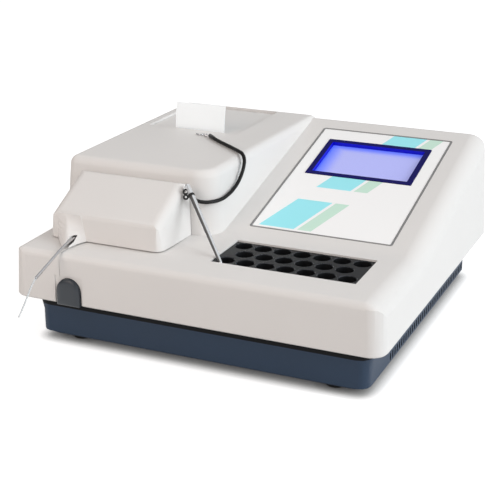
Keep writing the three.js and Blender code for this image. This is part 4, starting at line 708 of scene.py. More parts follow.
class ANALYZER_OT_housing(StepOperator, Operator):
    """Make the pale housing, the hood, the printer lid and the sip button"""

    bl_idname = "analyzer.housing"
    bl_label = "Housing"

    def execute(self, context):
        edge = sizes().mould_edge
        dress_all(
            ("upper_housing", "housing_shell", "housing", edge),
            ("pump_hood", "hood_shell", "housing", edge / 2),
            ("printer_lid", "printer_lid_shell", "housing", edge),
        )
        button = copy_of_solid("sip_button", "sip_button_cap")
        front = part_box("sip_button")[0].y + MILLIMETRE
        pick_faces(button, lambda place, normal: normal.y < -FACING and place.y < front)
        for inset, rise in BUTTON_DOME:
            bpy.ops.mesh.inset(thickness=inset, depth=0)
            bpy.ops.transform.translate(value=(0, -rise, 0))
        close()
        round_edges(button, BUTTON_EDGE)
        smooth(button, BUTTON_ANGLE)
        hand_over(button, "button", "sip_button")
        low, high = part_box("printer_lid")
        lip = block_between(
            "lid_lip", (high.x - LIP_INSETS[0], low.y + LIP_ENDS[0], high.z + LIP_HEIGHTS[0]),
            (high.x - LIP_INSETS[1], high.y - LIP_ENDS[1], high.z + LIP_HEIGHTS[1]), CASE_EDGE, 3)
        add_shaded(lip, "mark", "printer_lid")
        return {"FINISHED"}


CORNERS = ("front_left", "front_right", "rear_right", "rear_left")
# Height above which the tray's neck gets a painted shadow, and how far it reaches in from front
# and rear
NECK_SHADOW_HEIGHT = 0.0356
NECK_SHADOW_REACH = 0.012
# Fine slots in the tray's sides: heights, sizes, and the depths at which their walls get painted
# shade
SLOT_SPAN = (0.0098, 0.0168)
SLOT_WIDTH = 0.003
SLOT_DEPTH = 0.01
SLOT_PITCH = 0.0068
SLOT_COUNT = 38
SLOT_SHIFT = 0.026
SLOT_SHADE_DEPTHS = (0.0024, 0.0078)
SLOT_SHADE_MARGIN = 0.0002
# Screws from below: height of the head, its rounding, length of the point, depth of the cross
SCREW_HEAD = 0.0022
SCREW_EDGE = 0.0007
SCREW_POINT = 0.002
SCREW_CROSS = 0.0012
# Feet: radius and height in the sole's hollow, outer edge, and the step in to the neck
FOOT_HOLLOW = ((0.0024, 0.0016), (0.003, 0))
FOOT_EDGE = (0.0008, 0.0009)
FOOT_NECK = 0.0006
FOOT_NECK_DROPS = (0.0022, 0.0016)


def screw_pattern(name, low, high):
    """A long screw driven in from below: cross head at the bottom, shank with a pointed end"""
    radius = (high.x - low.x) / 2
    shank = radius * 0.5
    head = low.z + SCREW_HEAD
    piece = turned(name, [
        (radius * 0.75, low.z), (radius, low.z + SCREW_EDGE), (radius, head), (shank, head),
        (shank, high.z - SCREW_POINT), (shank * 0.4, high.z)], 24)
    return cut_cross(piece, radius * 0.6, radius * 0.12, low.z - MILLIMETRE,
                     low.z + SCREW_CROSS)


def foot_pattern(name, low, high):
    """A rubber foot with a hollow in its sole and a narrower neck at its top"""
    radius, top = (high.x - low.x) / 2, high.z
    neck = radius - FOOT_NECK
    return turned(name, [
        *FOOT_HOLLOW, (radius - FOOT_EDGE[0], 0), (radius, FOOT_EDGE[1]),
        (radius, top - FOOT_NECK_DROPS[0]), (neck, top - FOOT_NECK_DROPS[1]), (neck, top)], 36)


class ANALYZER_OT_base(StepOperator, Operator):
    """Make the dark tray, its feet and screws"""

    bl_idname = "analyzer.base"
    bl_label = "Base"

    def execute(self, context):
        self.tray()
        for name, make, twin, node, finish in (
            ("foot_pattern", foot_pattern, "rubber_foot", "foot", "rubber"),
            ("screw_pattern", screw_pattern, "screw", "housing_screw", "steel"),
        ):
            pattern = make(name, *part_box(f"{node}_{CORNERS[0]}"))
            shade(pattern)
            for corner in CORNERS:
                low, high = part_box(f"{node}_{corner}")
                middle = Matrix.Translation(((low.x + high.x) / 2, (low.y + high.y) / 2, 0))
                piece = copy_to(pattern, f"{twin}_{corner}", middle)
                hand_over(piece, finish, f"{node}_{corner}")
            drop(pattern)
        return {"FINISHED"}

    def tray(self):
        """The tray, with fine slots in its sides whose walls get painted shade, and a painted
        shadow round its neck
        """
        tray = copy_of_solid("base_tray", "tray_shell")
        low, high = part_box("base_tray")
        middle = (low + high) / 2
        round_edges(tray, sizes().mould_edge)
        slot = block_between("slot_cutter", (-SLOT_DEPTH, -SLOT_WIDTH / 2, SLOT_SPAN[0]),
                             (SLOT_DEPTH, SLOT_WIDTH / 2, SLOT_SPAN[1]))
        rows = [middle.y + SLOT_SHIFT + (i - (SLOT_COUNT - 1) / 2) * SLOT_PITCH
                for i in range(SLOT_COUNT)]
        slots = [copy_to(slot, f"slot_{side}_{i}", Matrix.Translation((x, y, 0)))
                 for side, x in (("left", low.x), ("right", high.x)) for i, y in enumerate(rows)]
        drop(slot)
        cut_away(tray, joined("slots", slots))
        open_all(tray)
        bpy.ops.mesh.bisect(plane_co=(0, 0, NECK_SHADOW_HEIGHT), plane_no=(0, 0, 1))
        close()
        shade(tray)
        hand_over(tray, "base", "base_tray")
        # Painted shadow: the neck's front and rear faces above the band, under the housing's rim
        paint(tray, "neck", lambda place, normal: (
            place.z > NECK_SHADOW_HEIGHT and abs(place.y - middle.y) > middle.y - low.y - NECK_SHADOW_REACH))
        # Painted shade: the walls inside the slots
        paint(tray, "neck", lambda place, normal: (
            SLOT_SPAN[0] - SLOT_SHADE_MARGIN < place.z < SLOT_SPAN[1] + SLOT_SHADE_MARGIN
            and high.x - SLOT_SHADE_DEPTHS[1] < abs(place.x) < high.x - SLOT_SHADE_DEPTHS[0]
            and (abs(normal.y) > FACING or abs(normal.z) > FACING)))


WELL_COUNTS = (7, 6, 7)
WELL_PITCH_X = 0.0193
WELL_PITCH_Y = 0.0202
WELL_RADIUS = 0.0081
WELL_CHAMFER = 0.0006
WELL_FLOOR = 0.004
WELL_CONE = 0.0025
WELL_TIP = 0.0006
WELL_OVERCUT = 0.002
WELL_SIDES = 40
BLOCK_EDGE = 0.0003
# Slopes of the rim chamfer faces that get the painted highlight
RIM_HIGHLIGHT_SLOPE = (0.5, 0.95)


class ANALYZER_OT_incubator(StepOperator, Operator):
    """Make the drilled block, its heater and its bracket"""

    bl_idname = "analyzer.incubator"
    bl_label = "Incubator"

    def execute(self, context):
        low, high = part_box("incubator_block")
        block = block_between("well_block", low, high, BLOCK_EDGE)
        floor = low.z + WELL_FLOOR
        cutter = turned("well_cutter", [
            (WELL_TIP, floor), (WELL_RADIUS, floor + WELL_CONE),
            (WELL_RADIUS, high.z - WELL_CHAMFER), (WELL_RADIUS + WELL_CHAMFER, high.z),
            (WELL_RADIUS + WELL_CHAMFER, high.z + WELL_OVERCUT)], WELL_SIDES)
        centre = (low + high) / 2
        cutters = [
            copy_to(cutter, f"well_cutter_{row}_{i}", Matrix.Translation((
                centre.x + (i - (count - 1) / 2) * WELL_PITCH_X,
                centre.y + (row - 1) * WELL_PITCH_Y, 0)))
            for row, count in enumerate(WELL_COUNTS) for i in range(count)]
        drop(cutter)
        cut_away(block, joined("well_cutters", cutters))
        shade(block)
        hand_over(block, "anodised", "incubator_block")
        # Painted highlight on the chamfers round the wells' rims
        paint(block, "painted_rim_highlight", lambda place, normal: (
            RIM_HIGHLIGHT_SLOPE[0] < normal.z < RIM_HIGHLIGHT_SLOPE[1] and place.z > high.z - WELL_CHAMFER))
        dress_all(
            ("incubator_heater", "heater_plate", "aluminium"),
            ("incubator_bracket", "block_bracket", "zinc"),
        )
        return {"FINISHED"}


# Bands of the printed panel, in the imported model's plan
BAND_START_Y = -0.0278
BAND_SLANT_SHARE = 0.37
BAND_SPAN = (0.0115, 0.0475)
SIDE_BAND_SPAN = (0.051, 0.065)
BAND_GAP_Y = (0.0247, 0.0497)
BAND_LOWER_Y = -0.0283
CONSOLE_UP = Vector((0, -sin(radians(13.8)), cos(radians(13.8))))


def panel_finish():
    """White printed sheet with slanting bands"""
    shown = colours()
    material, shader = bare_material("printed_sheet", Roughness=0.28, Coat_Weight=0.3)
    axes = axes_of(material)
    lean = reckon(material, "ADD", axes["Y"], -BAND_START_Y)
    lean = reckon(material, "MULTIPLY_ADD", lean, -BAND_SLANT_SHARE, axes["X"])
    near = between(material, axes["Y"], BAND_LOWER_Y, BAND_GAP_Y[0])
    rear = between(material, axes["Y"], BAND_GAP_Y[1], 1.0)
    shows = reckon(material, "ADD", near, rear)
    colour = linear(shown.panel)
    for limits, band in ((BAND_SPAN, shown.band), (SIDE_BAND_SPAN, shown.side_band)):
        mask = reckon(material, "MULTIPLY", between(material, lean, *limits), shows)
        colour = mixed(material, mask, colour, linear(band))
    feed(shader, {"Base Color": colour})
    return material


# Reach and strength of the display's brighter left and rear edges, and its fine grid
GLOW_REACH = (0.02, 0.014)
GLOW_SHARE = (1.0, 0.9)
PIXEL_PITCH = 0.00042
PIXEL_LINE = 0.14
PIXEL_SHADE = 0.16
PIXEL_COLOUR = (0.05, 0.06, 0.3, 1.0)


def display_finish():
    """Lit display: soft blue in the middle, brighter towards its left and rear edges"""
    shown = colours()
    low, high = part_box("touch_glass")
    material, shader = bare_material("lit_display", Roughness=0.2, Coat_Weight=0.35,
                                     Emission_Strength=0.25)
    axes = axes_of(material)
    left = ranged(material, axes["X"], low.x, low.x + GLOW_REACH[0],
                  GLOW_SHARE[0], 0.0, "SMOOTHSTEP")
    rear = ranged(material, axes["Y"], high.y - GLOW_REACH[1], high.y,
                  0.0, GLOW_SHARE[1], "SMOOTHSTEP")
    edge = reckon(material, "MAXIMUM", left, rear)
    face = mixed(material, edge, linear(shown.lit), linear(shown.glow))
    lines = []
    for axis in ("X", "Y"):
        cell = reckon(material, "MODULO", axes[axis], PIXEL_PITCH)
        share = reckon(material, "DIVIDE", cell, PIXEL_PITCH)
        size = reckon(material, "ABSOLUTE", share)
        lines.append(reckon(material, "LESS_THAN", size, PIXEL_LINE))
    faint = reckon(material, "MULTIPLY", reckon(material, "MAXIMUM", *lines), PIXEL_SHADE)
    face = mixed(material, faint, face, PIXEL_COLOUR)
    feed(shader, {"Base Color": face, "Emission Color": face})
    return material


FRAME_EDGE = 0.0005
SHEET_EDGE = 0.0001
TRIM_EDGE = 0.0003


class ANALYZER_OT_panel(StepOperator, Operator):
    """Make the printed panel, its metal trim and the touch display"""

    bl_idname = "analyzer.panel"
    bl_label = "Panel and display"

    def execute(self, context):
        shown = colours()
        dress("panel_trim", "panel_edge", "trim", TRIM_EDGE, 3)
        dress("panel_sheet", "printed_panel", panel_finish(), SHEET_EDGE)
        bezel = dress("display_bezel", "display_frame", "navy", FRAME_EDGE, 3)
        low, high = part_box("display_bezel")
        middle = (low + high) / 2
        # Painted glow: the frame's inner walls get a bright blue that also emits
        wall = finish_of("blue_frame_wall", shown.painted_frame_glow, (0.3, 0.4), Emission_Strength=0.2,
                         Emission_Color=linear(shown.painted_frame_glow), Specular_IOR_Level=0.3)
        paint(bezel, wall, lambda place, normal: (
            normal.dot(CONSOLE_UP) < 0.5 and normal.dot(middle - place) > 0))
        dress_all(
            ("touch_glass", "touch_display", display_finish()),
            ("display_module", "display_case", "black", CASE_EDGE),
            ("display_board", "display_circuit", "board", SHEET_EDGE),
        )
        return {"FINISHED"}


SIPPER_RIM = 0.0003
SIPPER_RIM_INSET = 0.0002
SWITCH_EDGE = 0.0003


class ANALYZER_OT_sipper(StepOperator, Operator):
    """Make the sipper tube and the switch behind the button"""

    bl_idname = "analyzer.sipper"
    bl_label = "Sipper"

    def execute(self, context):
        route, radius = placed(SIPPER_ROUTE), sizes().sipper_radius
        tube = as_mesh(curve_along("sipper_steel_tube", route, radius))
        hand_over(tube, "steel", "sipper_tube")
        before, end = route[-2:]
        rim = ring("sipper_tube_rim", radius - SIPPER_RIM_INSET, SIPPER_RIM,
                   along(end, end + (end - before)), 24, 8)
        join_in(rim, "steel", "sipper_tube")
        dress("sip_switch", "button_switch", "black", SWITCH_EDGE)
        return {"FINISHED"}


# Teeth of the torn edge: count, reach to each side, depth, overcut, share of width at the tip
TEAR_TEETH = 38
TEAR_REACH = 0.004
TEAR_DEPTH = 0.0006
TEAR_TOP = 0.002
TEAR_POINT = 0.04


def standing_paper():
    """The strip that stands in the printer's slot, torn off along a fine saw edge"""
    strip = copy_of_solid("paper_strip", "standing_paper")
    low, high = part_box("paper_strip")
    pitch = (high.x - low.x) / TEAR_TEETH
    pattern = block_between("tear_cutter", (-pitch / 2, -TEAR_REACH, -TEAR_DEPTH),
                            (pitch / 2, TEAR_REACH, TEAR_TOP))
    pick_faces(pattern, lambda place, normal: normal.z < -FACING)
    bpy.ops.transform.resize(value=(TEAR_POINT, 1, 1))
    close()
    back = max(corner.co.y for corner in strip.data.vertices
               if corner.co.z > high.z - MILLIMETRE)
    cutters = [copy_to(pattern, f"tear_cutter_{i}", Matrix.Translation((
        low.x + (i + 0.5) * pitch, back, high.z))) for i in range(TEAR_TEETH)]
    drop(pattern)
    cut_away(strip, joined("tear_cutters", cutters))
    shade(strip)
    return hand_over(strip, "paper", "paper_strip")


class ANALYZER_OT_printer(StepOperator, Operator):
    """Make the printer, its roller, its roll and the standing paper"""

    bl_idname = "analyzer.printer"
    bl_label = "Printer"

    def execute(self, context):
        dress_all(
            ("printer_mechanism", "printer_unit", "black", CASE_EDGE),
            ("platen_roller", "printer_roller", "rubber"),
            ("paper_roll", "roll_of_paper", "paper"),
        )
        standing_paper()
        return {"FINISHED"}


STYLUS_FOOT = (0.0139, -0.118793, 0.0918)
STYLUS_TOP = (-0.0426, -0.072394, 0.1464)
# Radii of the stylus, with heights at its tip, shares of its length, and drops from its top
STYLUS_TIP = ((0.0007, 0), (0.0013, 0.0004), (0.0017, 0.0016))
STYLUS_TAPER = ((0.002, 0.2), (0.0024, 0.5), (0.0026, 0.72), (0.0027, 0.76))
STYLUS_END = ((0.0027, 0.0135), (0.0022, 0.013), (0.0022, 0.0118), (0.0027, 0.0113),
              (0.0027, 0.0018), (0.0019, 0.0003), (0.001, 0))
STYLUS_GROOVE_FACING = (0.0, -1.0, 0.3)
STYLUS_GROOVE_SPAN = (0.06, 0.82)
STYLUS_GROOVE_DEPTH = 0.0005
STYLUS_GROOVE_EDGE = 0.0001
COLLAR = ((0.0027, 0), (0.0032, 0.0004), (0.0032, 0.0024), (0.0027, 0.0028))
COLLAR_DROP = 0.0142
CLASP_FACING = Vector((0.5, -0.8, 0.2))
# Name, middle, radius, wire radius and finish
CLASP_RINGS = (
    ("clasp_ring", (-0.0412, -0.0782, 0.1412), 0.0021, 0.00085, "clasp"),
    ("clasp_eye", (-0.0403, -0.0796, 0.1366), 0.0019, 0.0009, "clasp"),
    ("clasp_link", (-0.0421, -0.0772, 0.1446), 0.0012, 0.0004, "polished"),
)


class ANALYZER_OT_stylus(StepOperator, Operator):
    """Make the stylus and the wire clip of its lanyard"""

    bl_idname = "analyzer.stylus"
    bl_label = "Stylus"

    def execute(self, context):
        foot, top = Vector(STYLUS_FOOT), Vector(STYLUS_TOP)
        length = (top - foot).length
        rod = turned("steel_stylus", [
            *STYLUS_TIP, *((radius, length * share) for radius, share in STYLUS_TAPER),
            *((radius, length - fall) for radius, fall in STYLUS_END)], 40)
        stand = along(foot, top)
        facing = stand.to_3x3().inverted() @ Vector(STYLUS_GROOVE_FACING)
        facing = Vector((facing.x, facing.y, 0)).normalized()
        low, high = (share * length for share in STYLUS_GROOVE_SPAN)
        pick_faces(rod, lambda place, normal: normal.dot(facing) > 0.8 and low < place.z < high)
        bpy.ops.mesh.inset(thickness=STYLUS_GROOVE_EDGE, depth=0)
        bpy.ops.mesh.extrude_region_move(
            TRANSFORM_OT_translate={"value": -facing * STYLUS_GROOVE_DEPTH})
        close()
        sunk = [face.index for face in rod.data.polygons if face.select]
        put(rod, stand)
        shade(rod)
        hand_over(rod, "polished", "stylus")
        # Painted shade: the groove's sunk faces get the darker groove finish
        rod.data.materials.append(finishes["groove"])
        for index in sunk:
            rod.data.polygons[index].material_index = 1
        collar = turned("stylus_collar", COLLAR, 32)
        put(collar, stand @ Matrix.Translation((0, 0, length - COLLAR_DROP)))
        add_shaded(collar, "clasp", "stylus")
        for name, middle, radius, wire, finish in CLASP_RINGS:
            eye = ring(name, radius, wire, along(middle, Vector(middle) + CLASP_FACING), 32)
            join_in(eye, finish, "stylus")
        clip = as_mesh(curve_along("wire_clip", placed(CLIP_ROUTE), sizes().clip_radius))
        hand_over(clip, "steel", "lanyard_clip")
        return {"FINISHED"}


# Where the pump wheel's rollers begin: above its floor and away from its axis
ROLLER_FLOOR = 0.0034
ROLLER_INSIDE = 0.0072


class ANALYZER_OT_pump(StepOperator, Operator):
    """Make the pump, the flow cell and the hinge under the hood"""

    bl_idname = "analyzer.pump"
    bl_label = "Pump and flow cell"

    def execute(self, context):
        dress_all(
            ("hood_hinge_pin", "hinge_pin", "steel"),
            ("hood_hinge_bracket", "hinge_arms", "zinc"),
            ("pump_housing", "pump_body", "black", CASE_EDGE * 2),
            ("pump_tube", "pump_tubing", "tubing", 0),
            ("pump_motor", "pump_drive", "zinc", CASE_EDGE),
            ("flow_cell", "cell_block", "aluminium", CASE_EDGE),
            ("detector", "light_detector", "black", CASE_EDGE),
        )
        rotor = dress("pump_rotor", "pump_rollers", "rotor", CASE_EDGE)
        low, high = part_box("pump_rotor")
        middle = (low + high) / 2
        paint(rotor, "steel", lambda place, normal: (
            place.z > low.z + ROLLER_FLOOR and (place - middle).xy.length > ROLLER_INSIDE))
        return {"FINISHED"}


class ANALYZER_OT_optics(StepOperator, Operator):
    """Make the lamp, the filter wheel and what carries them"""

    bl_idname = "analyzer.optics"
    bl_label = "Optics"

    def execute(self, context):
        dress_all(
            ("optics_stand", "optics_frame", "aluminium"),
            ("lens_tube", "lens_barrel", "anodised"),
            ("filter_wheel", "wheel_of_filters", "anodised"),
            ("filter_motor", "wheel_motor", "zinc"),
            ("lamp_housing", "lamp_case", "aluminium", CASE_EDGE),
        )
        return {"FINISHED"}


BOARD_TOP = 0.0021
# Shares of the board's span: chips up to the first, coolers from the second, sockets behind
CHIP_SHARE = 0.5
COOLER_SHARE = 0.6
SOCKET_SHARE = 0.82


class ANALYZER_OT_electronics(StepOperator, Operator):
    """Make the main board and the power supply"""

    bl_idname = "analyzer.electronics"
    bl_label = "Electronics"

    def execute(self, context):
        board = dress("main_board", "main_circuit", "board")
        low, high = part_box("main_board")
        span = high - low
        for finish, test in (
            ("chip", lambda place: place.x < low.x + span.x * CHIP_SHARE),
            ("aluminium", lambda place: place.x >= low.x + span.x * COOLER_SHARE),
            ("connector", lambda place: place.y > low.y + span.y * SOCKET_SHARE),
        ):
            paint(board, finish, lambda place, normal, test=test: (
                place.z > low.z + BOARD_TOP and test(place)))
        dress("power_supply", "supply_case", "aluminium", CASE_EDGE)
        return {"FINISHED"}


# The leaning rear wall: places on it are across and up, and depths are along its outward Y
REAR = Matrix.Translation((0, 0.200207, 0.047)) @ Matrix.Rotation(radians(2.6), 4, "X")
REAR_OUTWARD = Matrix.Rotation(-pi / 2, 4, "X")
REAR_FACE = -0.0033
ROCKER_FACING = 0.85
ROCKER_BAR = ((-0.0003, -0.0019, -0.0002), (0.0003, 0.0019, 0.00012))
ROCKER_RING = (0.0017, 0.0003)
SOCKET_FACE = -0.001
FAN_PLACE = (0.02, 0.044)
FAN_DEPTH = (-0.0193, -0.0066)
FAN_HUB = 0.011
FAN_REACH = 0.0256
FAN_BLADES = 7
HUB_EDGE = 0.0004
HUB_ROUND = 0.0012
HUB_DIMPLE = 0.004
BLADE_CHORD = 0.0125
BLADE_ROOT = 0.001
BLADE_THICKNESS = 0.0011
BLADE_PITCH = radians(38)
BLADE_TWIST = radians(16)
BLADE_EDGE = 0.0003
GUARD_PLANE = -0.00225
GUARD_RIM = 0.0275
GUARD_WIRE = 0.00075
GUARD_EYE = 0.0028
GUARD_GAP = 0.0032
FAN_SCREW_REACH = 0.025
INLET_PLACE = (-0.09, 0.032)
INLET_PITCH = 0.00714
INLET_CONTACT = ((-0.00115, -0.0022, -0.015), (0.00115, 0.0022, -0.0035))
SERIAL_PLACE = (0.096, 0.032)
SERIAL_PITCH = (0.00276, 0.00142)
SERIAL_PIN = ((0.0005, -0.0062), (0.0005, -0.0016), (0.0003, -0.0011))
JACK_NUT = ((0.0021, -0.0004), (0.0021, 0.0016), (0.0017, 0.002), (0.0011, 0.002),
            (0.0011, 0.0006))
JACK_REACH = 0.0132
NUT_EDGE = 0.00015
REAR_SCREW_SIZE = (0.0029, 0.0017)
SCREW_SINK = 0.0001
REAR_SCREWS = [(x, z) for x in (-0.124, -0.026, 0.124) for z in (0.016, 0.076)]


def behind(x, depth, z):
    """A place on the rear wall, with +Z turned outwards"""
    return REAR @ Matrix.Translation((x, depth, z)) @ REAR_OUTWARD


class ANALYZER_OT_rear(StepOperator, Operator):
    """Make the rear panel with its power inlet, switch, socket and fan"""

    bl_idname = "analyzer.rear"
    bl_label = "Rear panel"

    def execute(self, context):
        dress_all(
            ("rear_panel", "rear_plate", "painted"),
            ("power_inlet", "mains_inlet", "black", CASE_EDGE),
            ("switch_frame", "rocker_frame", "black", CASE_EDGE),
            ("serial_port", "serial_socket", "zinc"),
            ("fan_frame", "fan_case", "black", sizes().mould_edge),
        )
        self.rocker()
        self.fan()
        self.guard()
        self.pins()
        self.screws()
        return {"FINISHED"}

    def rocker(self):
        """The rocker, with a bar on its upper half and a ring on its lower one"""
        rocker = dress("power_rocker", "rocker", "black", sizes().mould_edge, 3)
        faces = sorted((face for face in rocker.data.polygons if face.normal.y > ROCKER_FACING),
                       key=lambda face: -face.area)[:2]
        upper, lower = [along(face.center, face.center + face.normal)
                        for face in sorted(faces, key=lambda face: -face.center.z)]
        bar = block_between("switch_bar", *ROCKER_BAR)
        circle = ring("switch_ring", *ROCKER_RING, lower, 32, 8)
        for mark in (put(bar, upper), circle):
            join_in(mark, "mark", "power_rocker")

    def fan(self):
        """The fan's wheel: a rounded hub and twisted blades"""
        long = FAN_DEPTH[1] - FAN_DEPTH[0]
        hub = turned("fan_hub", [
            (FAN_HUB - HUB_EDGE, 0), (FAN_HUB, HUB_EDGE), (FAN_HUB, long - HUB_ROUND),
            (FAN_HUB - HUB_ROUND, long), (HUB_DIMPLE, long),
            (HUB_DIMPLE - HUB_EDGE, long - HUB_EDGE)], 40)
        nothing_selected()
        bpy.ops.mesh.primitive_grid_add(x_subdivisions=10, y_subdivisions=6, size=1)
        blade = named("fan_blade")
        blade.scale = (FAN_REACH - FAN_HUB + BLADE_ROOT, BLADE_CHORD, 1)
        settle(blade)
        apply_modifier(blade, "SIMPLE_DEFORM", deform_method="TWIST", deform_axis="X",
                       angle=-BLADE_TWIST)
        apply_modifier(blade, "SOLIDIFY", thickness=BLADE_THICKNESS, offset=0)
        round_edges(blade, BLADE_EDGE)
        middle = (FAN_REACH + FAN_HUB - BLADE_ROOT) / 2
        pieces = [hub]
        for i in range(FAN_BLADES):
            turn = Matrix.Rotation(i * tau / FAN_BLADES, 4, "Z")
            pieces.append(copy_to(blade, f"fan_blade_{i}", turn @ Matrix.Translation(
                (middle, 0, long / 2)) @ Matrix.Rotation(BLADE_PITCH, 4, "X")))
        drop(blade)
        wheel = joined("fan_wheel", pieces)
        put(wheel, behind(FAN_PLACE[0], FAN_DEPTH[0], FAN_PLACE[1]))
        shade(wheel)
        hand_over(wheel, "black", "fan_rotor")

    def guard(self):
        """Rings of round wire on two crossing wires, with four eyes for its screws"""
        home = behind(FAN_PLACE[0], GUARD_PLANE, FAN_PLACE[1])
        wires = [ring(f"guard_ring_{i}", GUARD_RIM * (i + 1) / 4 - GUARD_WIRE, GUARD_WIRE, home)
                 for i in range(4)]
        reach = GUARD_RIM - GUARD_WIRE
        for i, (x, y) in enumerate(((reach, 0), (0, reach))):
            bar = wire_between(f"guard_bar_{i}", (-x, -y, 0), (x, y, 0), GUARD_WIRE)
            wires.append(put(bar, home))
        corner = FAN_SCREW_REACH * 2 ** 0.5
        for i in range(4):
            turn = home @ Matrix.Rotation(pi / 4 + i * pi / 2, 4, "Z")
            spoke = wire_between(f"guard_spoke_{i}", (reach, 0, 0), (corner - GUARD_GAP, 0, 0),
                                 GUARD_WIRE)
            wires.append(put(spoke, turn))
            eye = turn @ Matrix.Translation((corner, 0, 0))
            wires.append(ring(f"guard_eye_{i}", GUARD_EYE, GUARD_WIRE, eye, 28))
        guard = joined("fan_grille", wires)
        shade(guard)
        hand_over(guard, "polished", "fan_guard")

    def pins(self):
        """Contacts of the mains inlet and of the serial socket, and the socket's nuts"""
        contacts = []
        for i in (-1, 0, 1):
            contact = block_between(f"inlet_contact_{i + 1}", *INLET_CONTACT, CASE_EDGE)
            contacts.append(put(contact, behind(
                INLET_PLACE[0] + i * INLET_PITCH, SOCKET_FACE, INLET_PLACE[1])))
        add_shaded(joined("inlet_contacts", contacts), "steel", "power_inlet")
        pattern = turned("serial_pin", SERIAL_PIN, 12)
        contacts = [
            copy_to(pattern, f"serial_pin_{row}_{i}", behind(
                SERIAL_PLACE[0] + (i - (count - 1) / 2) * SERIAL_PITCH[0], SOCKET_FACE,
                SERIAL_PLACE[1] + row * SERIAL_PITCH[1]))
            for row, count in ((1, 5), (-1, 4)) for i in range(count)]
        drop(pattern)
        add_shaded(joined("serial_pins", contacts), "gold", "serial_port")
        nut = turned("jack_nut", JACK_NUT, 6)
        round_edges(nut, NUT_EDGE)
        for i, side in enumerate((-1, 1)):
            add_shaded(copy_to(nut, f"jack_nut_{i}", behind(
                SERIAL_PLACE[0] + side * JACK_REACH, SOCKET_FACE, SERIAL_PLACE[1])),
                "steel", "serial_port")
        drop(nut)

    def screws(self):
        """Screws of the rear plate and of the fan"""
        head = cross_screw("screw_head", *REAR_SCREW_SIZE)
        shade(head)
        spots = [(f"rear_plate_screw_{i}", x, REAR_FACE - SCREW_SINK, z)
                 for i, (x, z) in enumerate(REAR_SCREWS)]
        spots += [(f"fan_screw_{i}", FAN_PLACE[0] + x * FAN_SCREW_REACH, REAR_FACE + MILLIMETRE,
                   FAN_PLACE[1] + z * FAN_SCREW_REACH)
                  for i, (x, z) in enumerate(((-1, -1), (1, -1), (1, 1), (-1, 1)))]
        for name, *spot in spots:
            join_in(copy_to(head, name, behind(*spot)), "steel", "rear_panel")
        drop(head)


# Stage

FLOOR_SIZE = 16
# Reach and strength of the painted contact shade on the floor
FLOOR_CONTACT = 0.012
FLOOR_CONTACT_POWER = 1.3
FLOOR_LIFT = 0.72
LAMP_TARGET = Vector((0, 0, 0.08))
LAMP_COLOURS = {"right": (0.91, 0.965, 1.0), "top": (1, 1, 1), "front": (1.0, 0.86, 0.78)}


def floor_finish():
    """Pale floor that shows as white from the camera and keeps the object's shadow; painted
    contact shade darkens its colour and its lift close to the object
    """
    material, shader = bare_material("pale_floor", Roughness=0.9, Specular_IOR_Level=0.1)
    rays = add_node(material, "ShaderNodeLightPath").outputs
    seen = reckon(material, "MAXIMUM", rays["Is Camera Ray"], rays["Is Glossy Ray"])
    seen = reckon(material, "MAXIMUM", seen, rays["Is Transmission Ray"])
    # Painted shade: ambient occlusion darkens the floor's colour and takes away its lift near the
    # object
    near = add_node(material, "ShaderNodeAmbientOcclusion", {"Distance": FLOOR_CONTACT},
                    samples=8).outputs["AO"]
    painted_shade_share = reckon(material, "POWER", near, FLOOR_CONTACT_POWER)
    feed(shader, {"Base Color": mixed(
        material, painted_shade_share, (0.0, 0.0, 0.0, 1.0), linear(colours().floor))})
    lift = reckon(material, "MULTIPLY", seen, reckon(material, "MULTIPLY", painted_shade_share, FLOOR_LIFT))
    light = add_node(material, "ShaderNodeEmission", {"Strength": lift})
    total = add_node(material, "ShaderNodeAddShader", {
        0: shader.outputs["BSDF"], 1: light.outputs["Emission"]})
    feed(material.node_tree.nodes["Material Output"], {"Surface": total.outputs[0]})
    return material


def surroundings(stage):
    """Pale surroundings that are brighter on the right, and white where the camera sees them"""
    world = bpy.data.worlds.new("surroundings")
    world.use_nodes = True
    side = ranged(world, axes_of(world, "Generated")["X"], -1.0, 1.0,
                  stage.ambient_left, stage.ambient_right)
    seen = add_node(world, "ShaderNodeLightPath").outputs["Is Camera Ray"]
    feed(world.node_tree.nodes["Background"], {
        "Color": (1.0, 1.0, 1.0, 1.0), "Strength": reckon(world, "MAXIMUM", side, seen)})
    return world


def add_lamp(name, place, size, power, colour):
    """A square soft lamp that looks at the middle of the object"""
    aim = (LAMP_TARGET - Vector(place)).to_track_quat("-Z", "Y").to_euler()
    bpy.ops.object.light_add(type="AREA", location=place, rotation=aim)
    lamp = named(name).data
    lamp.size = size
    lamp.energy = power
    lamp.color = colour


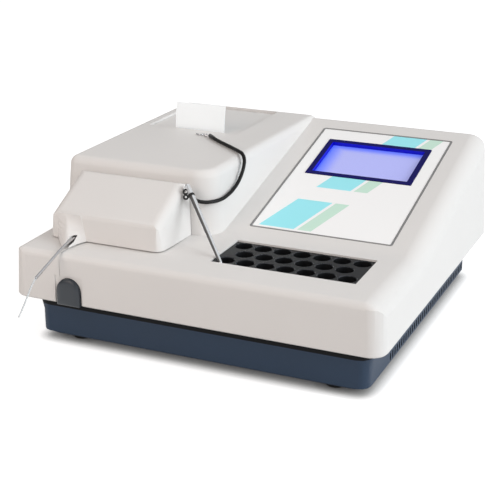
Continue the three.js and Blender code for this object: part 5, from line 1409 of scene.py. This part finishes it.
class ANALYZER_OT_stage(StepOperator, Operator):
    """Set the floor, the surroundings and the lamps"""

    bl_idname = "analyzer.stage"
    bl_label = "Stage"

    def execute(self, context):
        stage = context.scene.analyzer_stage
        bpy.ops.mesh.primitive_plane_add(size=FLOOR_SIZE)
        floor = named("floor")
        floor.data.materials.append(floor_finish())
        context.scene.world = surroundings(stage)
        add_lamp("right_lamp", (3.0, 0.1, 1.4), 2.0, stage.key_power, LAMP_COLOURS["right"])
        add_lamp("top_lamp", (-0.2, 0.3, 1.6), 1.2, stage.top_power, LAMP_COLOURS["top"])
        add_lamp("front_lamp", (-0.5, -1.3, 0.95), 1.0, stage.fill_power, LAMP_COLOURS["front"])
        context.scene.view_settings.view_transform = "Standard"
        return {"FINISHED"}


STEPS = (
    ANALYZER_OT_camera, ANALYZER_OT_cords, ANALYZER_OT_housing, ANALYZER_OT_base,
    ANALYZER_OT_incubator, ANALYZER_OT_panel, ANALYZER_OT_sipper, ANALYZER_OT_printer,
    ANALYZER_OT_stylus, ANALYZER_OT_pump, ANALYZER_OT_optics, ANALYZER_OT_electronics,
    ANALYZER_OT_rear, ANALYZER_OT_stage,
)


class ANALYZER_PT_steps(Panel):
    """Lists the steps in the sidebar"""

    bl_idname = "ANALYZER_PT_steps"
    bl_label = "Chemistry Analyzer"
    bl_space_type = "VIEW_3D"
    bl_region_type = "UI"
    bl_category = "Analyzer"

    def draw(self, context):
        for step in STEPS:
            self.layout.operator(step.bl_idname)
        for group in ("analyzer_colours", "analyzer_sizes", "analyzer_stage"):
            settings = getattr(context.scene, group)
            box = self.layout.box()
            for key in settings.__annotations__:
                box.prop(settings, key)


GROUPS = {
    "analyzer_colours": AnalyzerColours,
    "analyzer_sizes": AnalyzerSizes,
    "analyzer_stage": AnalyzerStage,
}


def register():
    for group in GROUPS.values():
        bpy.utils.register_class(group)
    for name, group in GROUPS.items():
        setattr(bpy.types.Scene, name, PointerProperty(type=group))
    for step in STEPS:
        bpy.utils.register_class(step)
    bpy.utils.register_class(ANALYZER_PT_steps)


def unregister():
    bpy.utils.unregister_class(ANALYZER_PT_steps)
    for step in reversed(STEPS):
        bpy.utils.unregister_class(step)
    for name, group in GROUPS.items():
        delattr(bpy.types.Scene, name)
        bpy.utils.unregister_class(group)


def main():
    register()
    make_finishes()
    for step in STEPS:
        name = step.bl_idname.split(".")[1]
        getattr(bpy.ops.analyzer, name)()


if __name__ == "__main__":
    main()
